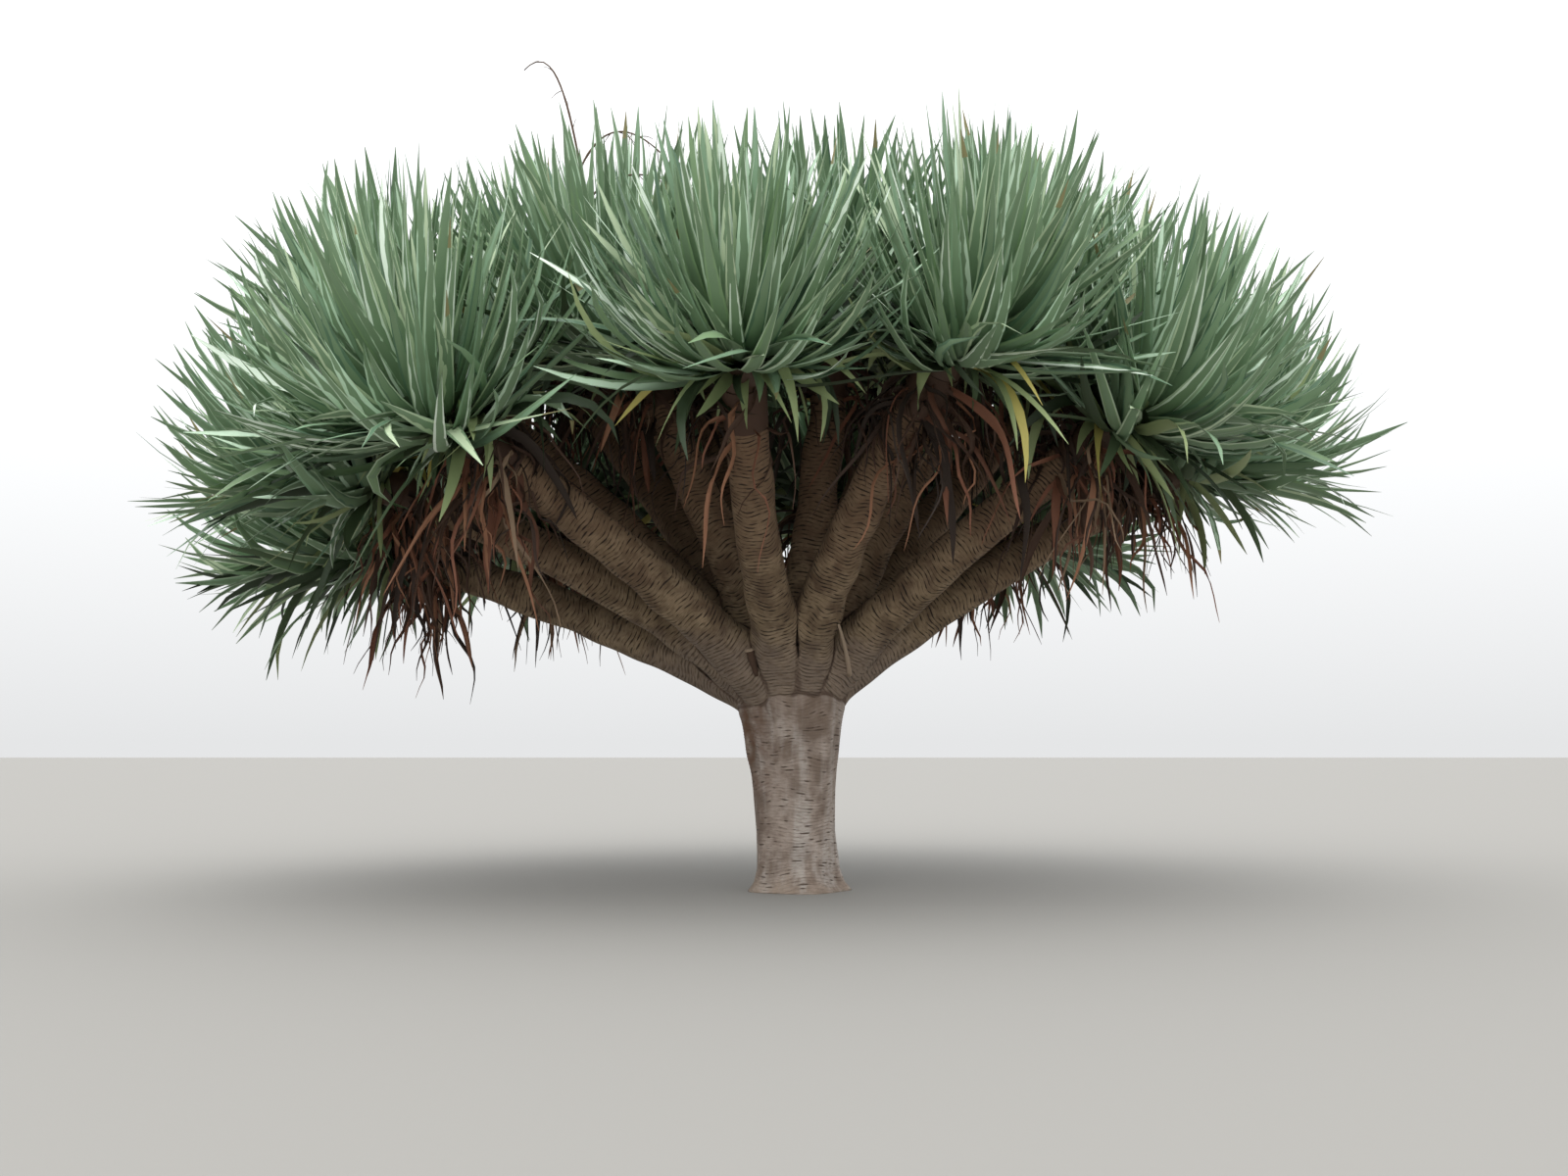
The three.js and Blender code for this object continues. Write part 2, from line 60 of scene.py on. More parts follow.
# Where each bough's rosette sits: its bearing about the fork in degrees, its distance out from
# the fork and its height over the ground. The middle of a bough stands off the straight line
# by rise, upwards, and by swing, sideways. Lowest is how steeply its leaves may point down, in
# degrees, and spring is how strongly they bend upwards. Leaf is their length and dead the
# number of dead leaves, where they aren't the usual.
BOUGHS = {
    "front": dict(
        bearing=-99, reach=0.942, height=1.560, lowest=-14,
        rise=0.010, swing=-0.035, spring=0.45, leaf=0.630, dead=12,
    ),
    "front_right": dict(
        bearing=-58, reach=0.889, height=1.630, lowest=-14,
        rise=0.020, swing=-0.070, spring=0.45, leaf=0.650, dead=64,
    ),
    "right_front": dict(bearing=-24, reach=1.120, height=1.478, lowest=-22, spring=0.4),
    "right": dict(
        bearing=4, reach=1.340, height=1.419, lowest=-24, spring=0.4, leaf=0.680, dead=60
    ),
    "upper_right": dict(bearing=29, reach=1.170, height=1.870, lowest=-30, spring=0.3),
    "back_right": dict(bearing=48, reach=1.245, height=1.320, lowest=-60, spring=0.25),
    "back": dict(bearing=83, reach=1.240, height=1.430, lowest=-60, spring=0.25),
    "back_left": dict(bearing=110, reach=1.240, height=1.410, lowest=-60, spring=0.25),
    "left_back": dict(bearing=138, reach=1.346, height=1.260, lowest=-60, spring=0.15),
    "left_low": dict(bearing=168, reach=1.475, height=1.156, lowest=-45, spring=0.1),
    "left": dict(
        bearing=-168, reach=1.375, height=1.310, lowest=-28, rise=0.075, spring=0.25
    ),
    "front_left": dict(bearing=-143, reach=1.256, height=1.404, lowest=-22, spring=0.3),
    "upper_front": dict(
        bearing=-155, reach=0.590, height=1.770, lowest=-35, rise=0.010, spring=0.35, dead=40
    ),
    "upper_left": dict(bearing=153, reach=0.994, height=1.890, lowest=-50, spring=0.2),
    "upper_back": dict(
        bearing=122, reach=0.703, height=1.920, lowest=-60, rise=0.020, spring=0.2, dead=40
    ),
    "centre": dict(
        bearing=-12, reach=0.150, height=1.860, lowest=-60, rise=0.0, spring=0.1, dead=24
    ),
    "upper_back_right": dict(
        bearing=60, reach=0.900, height=1.880, lowest=-60, spring=0.2, dead=110
    ),
    "upper_far_left": dict(
        bearing=177, reach=1.290, height=1.770, lowest=-30, rise=0.060, spring=0.2
    ),
    "upper_middle": dict(
        bearing=-5, reach=0.640, height=1.830, lowest=-50, rise=0.010, spring=0.1, dead=64
    ),
}
USUAL_RISE = 0.040
USUAL_LEAF = 0.700
USUAL_DEAD = 84

# Living leaves. A rosette faces a little further up than its stem, and a leaf's lean is
# measured from the way it faces. Leaf lengths are shares of the rosette's own.
FACING_UP = 0.45
LEAF_COUNT = 330
LEAF_RINGS = 9
LEAF_SIDES = 6
LEAF_LENGTHS = (0.88, 1.065)
LEAF_WIDTH = 0.052
LEAF_THICKNESS = 0.006
WIDEST_LEAN = math.radians(104)
ROOT_MARGIN = 0.030

# How far leaves sweep out before they rise. Those that point down are lifted by DROOP_LIFT and
# then arch over by DROOP_BEND instead.
SWEEP = 0.42
DROOP_LIFT = 0.65
DROOP_BEND = -0.45

# A leaf may reach a little past the middle between two rosettes. One that doesn't fit is tried
# shorter, if it is one of the crowded share, and then with more and more lift.
CELL_OVERLAP = 0.20
LIMB_ROOM = 0.012
CROWDED_SHARE = 0.6
SHORTER = (0.84, 0.70, 0.58, 0.48)
LIFTS = (0.1, 0.3, 0.55, 0.85, 1.2, 1.7, 2.4, 3.2)

# The oldest leaves hang limp, and this share of them is still there.
HANGING_FROM_AGE = 0.80
HANGING_SHARE = 0.75
HANGING_ROOM = 0.012

# Rosettes under INNER_HEIGHT have lost this share of the leaves that point steeply down.
INNER_HEIGHT = 1.6
STEEP = -0.50
STEEP_LOSS = 0.3

# Leaves whose tips stay inside this rounded space, or low, are in the crown's shade, but of
# the low ones at its rim this share are in the light.
CROWN_MIDDLE = np.array([0.0, 0.1, 1.25])
CROWN_RADII = np.array([2.0, 1.75, 1.35])
RIM_LIGHT = 0.8

# The shares of leaves that have a pale margin, are ageing or are yellowing.
EDGED_SHARE = 0.4
AGEING_SHARE = 0.35
HANGING_AGEING_SHARE = 0.3
HANGING_YELLOWING_SHARE = 0.04

# Dead leaves: narrow twisted ribbons that hang from the skirt and drape over their bough.
RIBBON_RINGS = 12
RIBBON_SIDES = 4
RIBBON_LENGTH = 0.43
RIBBON_WIDTH = 0.012
RIBBON_ROOM = 0.008

# The share of dead leaves that are still whole: they are broader, longer and less crumpled.
WHOLE_SHARE = 0.16
WHOLE_WIDTH = 1.8
WHOLE_LENGTH = 1.05
WHOLE_WAVE = 0.35

# Bark meshes. A bough's begins inside the head and ends a little inside the skirt's stem.
BOUGH_SIDES = 32
BOUGH_RINGS = 110
BOUGH_ROW_HEIGHT = 0.0135
BOUGH_START = 0.07
BOUGH_OVERLAP = 0.02
TRUNK_SIDES = 160
TRUNK_RINGS = 180
TRUNK_ROW_HEIGHT = 0.0105

# How far out the boughs are followed for the fork, how widely the surfaces of trunk and boughs
# round off where they meet, how far a surface may move for that, and how deep it goes under its
# neighbour beyond the seam.
FORK_LENGTH = 0.60
FORK_POINTS = 9
FORK_BLEND = 0.018
FORK_REACH = 0.045
FORK_TUCK = 0.008

# Seams at the fork, the crack below it and the brown stain beside that crack. Bearings are in
# radians, about the trunk's middle.
SEAM_WIDTH = 0.008
BOUGH_SEAM_DEPTH = 0.002
TRUNK_SEAM_DEPTH = 0.004
CREVICE_BEARING = math.radians(-121)
STAIN_BEARING = math.radians(-158)
STAIN_WIDTH = 0.55
SEAM_COLOUR = 0x4F3D33
STAIN_COLOUR = 0x64442F

# The old flower stalk that stands out of one rosette and hooks over at its end.
STALK_ROSETTE = "upper_front"
STALK_HEIGHT = 0.793
STALK_HOOK_HEIGHT = 0.980
STALK_DRIFT = -0.297
STALK_STRAIGHTNESS = 0.32
STALK_HOOK_START = 0.45
STALK_BASE_RADIUS = 0.007
STALK_TIP_RADIUS = 0.0030
STALK_RINGS = 40
TWIG_SIDES = 6
TWIG_RADII = (0.0016, 0.0007)
STALK_SHOOTS = (
    dict(start=0.52, reach=0.260, height=0.120),
    dict(start=0.40, reach=0.330, height=0.090),
)

# Two dead stubs on the bark over the fork, and the pale broken end of the second: the points
# that each is led by, from its foot to its end, its radius at both and its tint.
STUBS = (
    dict(
        points=((0.170, -0.113, 0.695), (0.160, -0.190, 0.770), (0.130, -0.262, 0.850)),
        radii=(0.0085, 0.0045), tint=0,
    ),
    dict(
        points=((-0.130, -0.174, 0.692), (-0.142, -0.199, 0.732), (-0.151, -0.216, 0.770)),
        radii=(0.0080, 0.0150), tint=1,
    ),
    dict(
        points=((-0.151, -0.216, 0.768), (-0.152, -0.217, 0.772), (-0.153, -0.218, 0.776)),
        radii=(0.0180, 0.0170), tint=0,
    ),
)

# How rough and how glossy surfaces are.
LEAF_ROUGHNESS = 0.42
DULL_LEAF_ROUGHNESS = 0.5
DEAD_LEAF_ROUGHNESS = 0.7
BARK_ROUGHNESS = 0.88
DRY_ROUGHNESS = 0.9
GLOSS = 0.35

# The camera stands where the photograph was taken, and looks slightly up.
CAMERA_PLACE = (-0.042, -5.4, 0.487)
CAMERA_PITCH = math.radians(5.3217)
CAMERA_LENS = 37.44
SENSOR_WIDTH = 36

# How far the floor reaches each way.
FLOOR_REACH = 40.0


def unit(vectors):
    vectors = np.asarray(vectors, float)
    return vectors / np.linalg.norm(vectors, axis=-1, keepdims=True)


def mix(a, b, t):
    return a + (b - a) * t


def smooth_step(low, high, value):
    t = np.clip((value - low) / (high - low), 0, 1)
    return t * t * (3 - 2 * t)


def bezier(controls, t):
    """Points of a Bezier curve at the parameters t."""
    levels = [np.asarray(point, float)[None, :] for point in controls]
    t = np.asarray(t)[:, None]
    while len(levels) > 1:
        levels = [mix(a, b, t) for a, b in zip(levels, levels[1:])]
    return levels[0]


def distances_along(points):
    """How far each point is from the first, along the line through them."""
    steps = np.linalg.norm(np.diff(points, axis=0), axis=1)
    return np.concatenate([[0], np.cumsum(steps)])


class Line:
    """A smooth curve that is read by the distance along it."""

    def __init__(self, controls):
        self.points = bezier(controls, np.linspace(0, 1, 401))
        self.distances = distances_along(self.points)
        self.length = self.distances[-1]

    def at(self, distance):
        return np.stack(
            [np.interp(distance, self.distances, self.points[:, axis]) for axis in range(3)],
            axis=-1,
        )

    def heading(self, distance):
        step = 0.002
        before = np.clip(distance, step, self.length - step) - step
        return unit(self.at(before + 2 * step) - self.at(before))


class Limb:
    """A bough with its stem, and the eye and facing of the rosette on it."""

    def __init__(
        self, name, bearing, reach, height, lowest, spring,
        rise=USUAL_RISE, swing=0.0, leaf=USUAL_LEAF, dead=USUAL_DEAD,
    ):
        turn = math.radians(bearing)
        self.name = name
        self.lowest = math.radians(lowest)
        self.spring = spring
        self.leaf = leaf
        self.dead = dead
        self.eye = HEAD + reach * np.array([math.cos(turn), math.sin(turn), 0])
        self.eye[2] = height
        chord = self.eye - HEAD
        self.side = unit(np.cross(UP, chord))
        self.outwards = unit(chord * np.array([1, 1, 0]))
        lifted = unit(np.cross(chord, self.side))
        middle = HEAD + chord / 2 + lifted * 2 * rise + self.side * 2 * swing
        tip = self.eye + unit(self.eye - middle) * ABOVE_EYE
        self.line = Line([HEAD, middle, tip])
        self.length = self.line.length
        self.joint = self.length - ABOVE_EYE - BELOW_EYE
        self.bough_end = self.joint - SKIRT_LENGTH
        self.heading = self.line.heading(self.joint)
        self.aim = unit(self.heading + UP * FACING_UP)

    def bough_radius(self, distance):
        return mix(BOUGH_BASE_RADIUS, BOUGH_TIP_RADIUS, distance / self.bough_end)

    def across(self, distance):
        """The way that, with side and heading, makes a right-angled frame."""
        return np.cross(self.line.heading(distance), self.side)

    def ways_out(self, distances, angle):
        """The ways out from the limb at the angles round it, as (distance, angle, xyz)."""
        across = self.across(distances)[:, None, :]
        return self.side * np.cos(angle)[:, None] + across * np.sin(angle)[:, None]

    def stretches(self):
        """Short straight parts as (starts, ends, radii), for measuring distances."""
        distances = np.linspace(0, self.length, 25)
        points = self.line.at(distances)
        radii = np.where(distances > self.bough_end, SKIRT_RADIUS, self.bough_radius(distances))
        return points[:-1], points[1:], radii[:-1]


def new_object(name, data):
    made = bpy.data.objects.new(name, data)
    bpy.context.scene.collection.objects.link(made)
    return made


def joined(stretches):
    """The stretches of several limbs as those of one."""
    return tuple(np.concatenate(part) for part in zip(*stretches))


def away_from(points, starts, along):
    """The ways from the nearest places on straight stretches, and how far along those are."""
    offsets = points - starts
    share = np.clip((offsets * along).sum(-1) / (along * along).sum(-1), 0, 1)
    return offsets - share[..., None] * along, share


def nearest_on(points, stretches):
    """For each point, how far it is outside the nearest stretch and the way out from it."""
    starts, ends, radii = stretches
    away, _ = away_from(points[..., None, :], starts, ends - starts)
    outside = np.linalg.norm(away, axis=-1) - radii
    best = outside.argmin(-1)[..., None]
    room = np.take_along_axis(outside, best, -1)[..., 0]
    way_out = np.take_along_axis(away, best[..., None], -2)[..., 0, :]
    return room, unit(way_out + 1e-9)


class Shape:
    """Closed tubes that are collected into one mesh of four-cornered faces."""

    def __init__(self):
        self.points = []
        self.quads = []
        self.tints = []
        self.total = 0

    def add(self, points, tints):
        """Adds tubes whose points are (tube, ring, column, xyz), or one without the first."""
        tubes = points.reshape(-1, *points.shape[-3:])
        quads = closed_quads(*tubes.shape[:3])
        self.points.append(points.reshape(-1, 3))
        self.quads.append(quads + self.total)
        self.tints.append(np.broadcast_to(tints, len(quads)))
        self.total += points.size // 3

    def piece(self, name, materials, slot, nodes, sharp_above=None):
        """The mesh as a piece that replaces the named nodes of the model, if any."""
        points = np.concatenate(self.points)
        quads = np.concatenate(self.quads)
        mesh = bpy.data.meshes.new(name)
        mesh.vertices.add(len(points))
        mesh.vertices.foreach_set("co", points.astype(np.float32).ravel())
        mesh.loops.add(quads.size)
        mesh.loops.foreach_set("vertex_index", quads.astype(np.int32).ravel())
        mesh.polygons.add(len(quads))
        mesh.polygons.foreach_set("loop_start", np.arange(0, quads.size, 4, dtype=np.int32))
        mesh.polygons.foreach_set("material_index", np.concatenate(self.tints).astype(np.int32))
        mesh.update(calc_edges=True)
        mesh.shade_smooth()
        if sharp_above is not None:
            mesh.set_sharp_from_angle(angle=sharp_above)
        for material in materials:
            mesh.materials.append(material)
        piece = new_object(name, mesh)
        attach(piece, "root")
        if nodes:
            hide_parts(*nodes)
        return piece


def tube_quads(tubes, rings, columns):
    """Side faces of closed tubes whose points come tube by tube and ring by ring."""
    tube = np.arange(tubes)[:, None, None] * rings * columns
    ring = np.arange(rings - 1)[None, :, None] * columns
    column = np.arange(columns)[None, None, :]
    following = (column + 1) % columns
    corners = [column, following, following + columns, column + columns]
    return np.stack([tube + ring + corner for corner in corners], axis=-1).reshape(-1, 4)


def cap_quads(tubes, rings, columns):
    """Faces that close both ends of such tubes. Columns is an even number."""
    first = np.arange(columns // 2 - 1)
    start = np.stack([first, columns - 1 - first, columns - 2 - first, first + 1], axis=-1)
    end = start[:, ::-1] + (rings - 1) * columns
    offset = np.arange(tubes)[:, None, None] * rings * columns
    return (np.concatenate([start, end])[None] + offset).reshape(-1, 4)


def closed_quads(tubes, rings, columns):
    return np.concatenate([tube_quads(tubes, rings, columns), cap_quads(tubes, rings, columns)])


def full_turn(count):
    """Evenly spaced angles round a limb."""
    return np.linspace(0, 2 * math.pi, count, endpoint=False)


def twisted(edgeways, facing, twist, rings):
    """The ways across and out of strips that turn by twist along their length."""
    angle = (twist[:, None] * np.linspace(0, 1, rings)[None, :])[..., None]
    across = edgeways * np.cos(angle) + facing * np.sin(angle)
    return across, facing * np.cos(angle) - edgeways * np.sin(angle)


def walked(root, steps):
    """The paths that steps make from their roots, as (strip, ring, xyz)."""
    start = root[:, None, :]
    return np.concatenate([start, start + np.cumsum(steps, axis=1)], axis=1)


def strip_points(path, across, above, section):
    """Points round each ring of strips, from how far across and above its middle each is."""
    points = [path + across * x[..., None] + above * y[..., None] for x, y in section]
    return np.stack(points, axis=2)


def ripples(rng, angle, along, count, turns, waves):
    """A smooth uneven surface, about -1 to 1, that closes on itself round a limb."""
    total = 0
    for _ in range(count):
        around = rng.integers(0, turns + 1) * angle
        total = total + np.cos(around + rng.uniform(-waves, waves) * along + rng.uniform(0, 7))
    return total / math.sqrt(count)


# Colours and materials


def linear(colour):
    """A display colour such as 0x808080 as linear red, green, blue and alpha."""
    parts = [(colour >> shift & 255) / 255 for shift in (16, 8, 0)]
    return [p / 12.92 if p <= 0.04045 else ((p + 0.055) / 1.055) ** 2.4 for p in parts] + [1]


def plain_material(name, colour, roughness):
    material = bpy.data.materials.new(name)
    material.use_nodes = True
    surface = material.node_tree.nodes["Principled BSDF"]
    surface.inputs["Base Color"].default_value = linear(colour)
    surface.inputs["Roughness"].default_value = roughness
    surface.inputs["Specular IOR Level"].default_value = GLOSS
    return material


class Nodes:
    """Adds nodes to one material."""

    def __init__(self, material):
        self.tree = material.node_tree
        self.surface = self.tree.nodes["Principled BSDF"]

    def set(self, node, key, value):
        if isinstance(value, bpy.types.NodeSocket):
            self.tree.links.new(value, node.inputs[key])
        else:
            node.inputs[key].default_value = value

    def add(self, kind, inputs, **settings):
        node = self.tree.nodes.new(kind)
        for key, value in settings.items():
            setattr(node, key, value)
        for key, value in inputs.items():
            self.set(node, key, value)
        return node

    def math(self, operation, a, b=0.0):
        return self.add("ShaderNodeMath", {0: a, 1: b}, operation=operation).outputs[0]

    def times(self, a, b):
        return self.math("MULTIPLY", a, b)

    def attribute(self, name, output="Fac"):
        return self.add("ShaderNodeAttribute", {}, attribute_name=name).outputs[output]

    def noise(self, vector, scale, detail):
        inputs = {"Vector": vector, "Scale": scale, "Detail": detail}
        return self.add("ShaderNodeTexNoise", inputs).outputs["Fac"]

    def ramp(self, value, low, high):
        """0 up to low, 1 from high on, and smooth between them."""
        inputs = {"Value": value, "From Min": low, "From Max": high}
        node = self.add("ShaderNodeMapRange", inputs, interpolation_type="SMOOTHSTEP")
        return node.outputs["Result"]

    def blend(self, share, first, second):
        node = self.add("ShaderNodeMix", {"Factor": share}, data_type="RGBA")
        self.set(node, 6, first)
        self.set(node, 7, second)
        return node.outputs[2]

    def place(self):
        return self.add("ShaderNodeTexCoord", {}).outputs["Object"]

    def stretched(self, vector, across, upwards):
        """A place whose x and y are scaled by across and whose z is scaled by upwards."""
        inputs = {0: vector, 1: (across, across, upwards)}
        return self.add("ShaderNodeVectorMath", inputs, operation="MULTIPLY").outputs["Vector"]


def row_slits(nodes, bark, share, scale, height):
    """1 in the short slits that lie along the rows which the bark attribute counts."""
    parts = nodes.add("ShaderNodeSeparateXYZ", {"Vector": bark})
    row = parts.outputs["Z"]
    row_place = nodes.times(nodes.math("FLOOR", row), 0.037)
    place = {"X": parts.outputs["X"], "Y": parts.outputs["Y"], "Z": row_place}
    in_row = nodes.add("ShaderNodeCombineXYZ", place).outputs["Vector"]
    opening = nodes.ramp(nodes.noise(in_row, scale, 1.0), 0.60 - share, 0.72)
    off_centre = nodes.math("ABSOLUTE", nodes.math("SUBTRACT", nodes.math("FRACT", row), 0.5))
    inside = nodes.math("SUBTRACT", nodes.times(opening, height), off_centre)
    return nodes.ramp(inside, -0.04, 0.08)


def bark_material(
    name, light, dark, warm, slit, slits, warm_from, warm_to, streak, foot, foot_from, foot_to
):
    """Bark with short dark slits in rows. It turns warm with height, and near its foot it has
    the foot's colour. The bark attribute of the mesh holds the place round the limb as x and
    y, and the count of rows as z."""
    material = plain_material(name, light, BARK_ROUGHNESS)
    nodes = Nodes(material)
    bark = nodes.attribute("bark", "Vector")
    slit_mask = row_slits(nodes, bark, *slits)
    place = nodes.place()
    patches = nodes.ramp(nodes.noise(place, 13.0, 6.0), 0.38, 0.66)
    wrinkles = nodes.noise(nodes.stretched(bark, 0.3, 0.012), 150.0, 4.0)
    streaks = nodes.ramp(nodes.noise(nodes.stretched(place, 1.0, 0.14), 24.0, 3.0), 0.42, 0.68)
    height = nodes.add("ShaderNodeSeparateXYZ", {"Vector": place}).outputs["Z"]
    unevenness = nodes.times(nodes.noise(place, 6, 3), 0.3)
    uneven_height = nodes.math("ADD", height, unevenness)
    warmth = nodes.ramp(uneven_height, warm_from, warm_to)
    above_foot = nodes.ramp(uneven_height, foot_from, foot_to)
    colour = nodes.blend(patches, linear(light), linear(dark))
    colour = nodes.blend(nodes.times(streaks, 0.6), colour, linear(streak))
    colour = nodes.blend(nodes.times(warmth, 0.8), colour, linear(warm))
    at_foot = nodes.times(nodes.math("SUBTRACT", 1.0, above_foot), 0.75)
    colour = nodes.blend(at_foot, colour, linear(foot))
    colour = nodes.blend(nodes.ramp(wrinkles, 0.42, 0.85), colour, linear(dark))
    stain = nodes.attribute("stain")
    blotches = nodes.ramp(nodes.noise(place, 16.0, 5.0), 0.30, 0.62)
    stained = nodes.times(nodes.times(stain, blotches), 0.85)
    colour = nodes.blend(stained, colour, linear(STAIN_COLOUR))
    slit_depth = nodes.math("ADD", nodes.times(above_foot, 0.45), 0.45)
    colour = nodes.blend(nodes.times(slit_mask, slit_depth), colour, linear(slit))
    colour = nodes.blend(seam_mask(nodes, place), colour, linear(SEAM_COLOUR))
    relief = nodes.math("SUBTRACT", nodes.times(wrinkles, 0.7), slit_mask)
    bump = nodes.add("ShaderNodeBump", {"Height": relief, "Strength": 0.8, "Distance": 0.006})
    nodes.set(nodes.surface, "Base Color", colour)
    nodes.set(nodes.surface, "Normal", bump.outputs["Normal"])
    return material


def seam_mask(nodes, place):
    """Dark flaky bark on parts of the seams at the fork, where the seam attribute is 1."""
    seam = nodes.attribute("seam")
    flakes = nodes.times(nodes.noise(place, 42.0, 4.0), 0.9)
    parts = nodes.ramp(nodes.noise(place, 11.0, 2.0), 0.40, 0.60)
    texture = nodes.math("ADD", flakes, nodes.times(parts, 0.65))
    mask = nodes.ramp(nodes.times(seam, texture), 0.30, 0.95)
    return nodes.times(mask, 0.70)


def leaf_materials():
    """Plain tints in the order that leaf faces refer to: bodies, shaded ones, special ones."""
    bodies = [0x84A284, 0xC0DAC0, 0x5A785F, 0xE0EEDE, 0x7C9870, 0xB8CAA8]
    shaded = [0x4A5C40, 0x3A4A34, 0x55684B, 0x2F3D29]
    # The dark base tint is painted shade where the leaves crowd round the eye.
    special = dict(
        margin=0xAFC4A6, underside=0x769070, base=0x5C6C50, tip=0x8E8760,
        stem=0x4F3A2C, ageing=0x93A273, yellowing=0xB9AF62,
    )
    tints = []
    for index, colour in enumerate(bodies):
        tints.append(plain_material(f"leaf body {index}", colour, LEAF_ROUGHNESS))
    duller = {f"shaded {index}": colour for index, colour in enumerate(shaded)} | special
    for name, colour in duller.items():
        tints.append(plain_material(f"leaf {name}", colour, DULL_LEAF_ROUGHNESS))
    return tints


BODY_TINTS = 6
SHADED_TINTS = 4
PLAIN_TINTS = BODY_TINTS + SHADED_TINTS
MARGIN, UNDERSIDE, BASE, TIP, STEM, AGEING, YELLOWING = range(PLAIN_TINTS, PLAIN_TINTS + 7)


def ribbon_materials():
    """Plain tints of dead leaves: five that have light on them, then darker ones that are
    painted shade.
    """
    colours = [0x7E5340, 0x644232, 0x93684F, 0x4C372B, 0x87715C, 0x3C2C23, 0x30251E, 0x4A3529]
    return [
        plain_material(f"dead leaf {index}", colour, DEAD_LEAF_ROUGHNESS)
        for index, colour in enumerate(colours)
    ]


# Dead leaves that face out of the crown get the lit tints, and the rest get the darker ones,
# which are painted shade.
LIT_RIBBON_TINTS = [0, 1, 2, 3, 4]
LIT_RIBBON_SHARES = [0.34, 0.22, 0.2, 0.14, 0.1]
SHADED_RIBBON_TINTS = [5, 6, 7]
SKIRT_STEM_TINT = 3


# Living leaves


def leaf_headings(limb, rng):
    """Roots, first headings, upper sides, lengths and ages of a rosette's leaves, in a spiral
    up the stem: the youngest stand up round the middle and older ones lie lower."""
    index = np.arange(LEAF_COUNT)
    age = (index + 0.5) / LEAF_COUNT
    lean = np.arccos(1 - age * (1 - math.cos(WIDEST_LEAN)))[:, None]
    turn = (index * GOLDEN_ANGLE + 0.35 * (rng.random(LEAF_COUNT) - 0.5))[:, None]
    sideways = unit(np.cross(limb.aim, limb.side))
    spread = limb.side * np.cos(turn) + sideways * np.sin(turn)
    heading = limb.aim * np.cos(lean) + spread * np.sin(lean)
    upper = limb.aim * np.sin(lean) - spread * np.cos(lean)
    root = limb.line.at(mix(limb.length - ROOT_MARGIN, limb.joint + ROOT_MARGIN, age))
    length = limb.leaf * mix(*LEAF_LENGTHS, rng.random(LEAF_COUNT))
    length *= mix(0.90, 1.0, smooth_step(0, 0.06, age))
    return root, heading, upper, length, age


def leaf_path(root, heading, length, lift, sweep, curl):
    """Centre lines as (leaf, ring, xyz). They bend upwards by lift, more so towards the tip,
    and start lower and end higher by sweep."""
    t = np.linspace(0, 1, LEAF_RINGS)[None, :, None]
    bend = lift[:, None, None] * (2.0 * t - 0.2) + sweep[:, None, None] * (2.0 * t - 1.0)
    ways = unit(heading[:, None, :] + UP * bend + curl[:, None, :] * t * t)
    middles = unit(ways[:, 1:] + ways[:, :-1])
    steps = middles * (length / (LEAF_RINGS - 1))[:, None, None]
    return walked(root, steps), ways


def leaf_fits(path, limb, limbs, others):
    """Whether each leaf keeps to its rosette's space and clear of the other limbs."""
    outer = path[:, LEAF_RINGS // 3 :]
    chord = unit(path[:, -1] - path[:, 0])
    fits = chord[:, 2] > math.sin(limb.lowest)
    for other in limbs:
        if other is limb:
            continue
        towards = other.eye - limb.eye
        distance = np.linalg.norm(towards)
        beyond = ((outer - limb.eye) @ (towards / distance)).max(axis=1)
        fits &= beyond < distance / 2 + CELL_OVERLAP
    room, _ = nearest_on(outer, others)
    return fits & (room.min(axis=1) > LIMB_ROOM + LEAF_WIDTH * 0.3)


def leaf_bends(limb, rng):
    """All that leaf_path needs for a rosette's leaves, with their upper sides, their ages and
    which of them hang limp. Those that point down arch over."""
    root, heading, upper, length, age = leaf_headings(limb, rng)
    hanging = age > HANGING_FROM_AGE
    arching = smooth_step(0.30, 0.85, age)[:, None]
    curl = rng.normal(0, 1, (LEAF_COUNT, 3)) * mix(0.24, 0.62, arching)
    curl -= UP * arching * rng.exponential(0.65, (LEAF_COUNT, 1))
    spring = limb.spring * rng.uniform(0.5, 1.8, LEAF_COUNT)
    spring *= 1 - smooth_step(0.0, 0.5, -(heading @ limb.outwards))
    drooping = smooth_step(0.1, 0.7, -heading[:, 2]) * ~hanging
    heading = unit(heading + UP * DROOP_LIFT * drooping[:, None])
    spring = mix(spring, DROOP_BEND, drooping)
    sweep = SWEEP * rng.uniform(0.2, 1.6, LEAF_COUNT) * (1 - drooping) * ~hanging
    limpness = rng.random(hanging.sum()) ** 1.5
    heading[hanging] = unit(heading[hanging] + UP * rng.uniform(0.1, 0.9, (hanging.sum(), 1)))
    spring[hanging] = -mix(0.2, 1.5, limpness) * rng.uniform(0.5, 1.3, hanging.sum())
    length[hanging] *= mix(0.80, 0.28, limpness) * rng.uniform(0.8, 1.2, hanging.sum())
    curl[hanging] *= mix(1.2, 2.4, limpness)[:, None]
    return (root, heading, length, spring, sweep, curl), upper, age, hanging


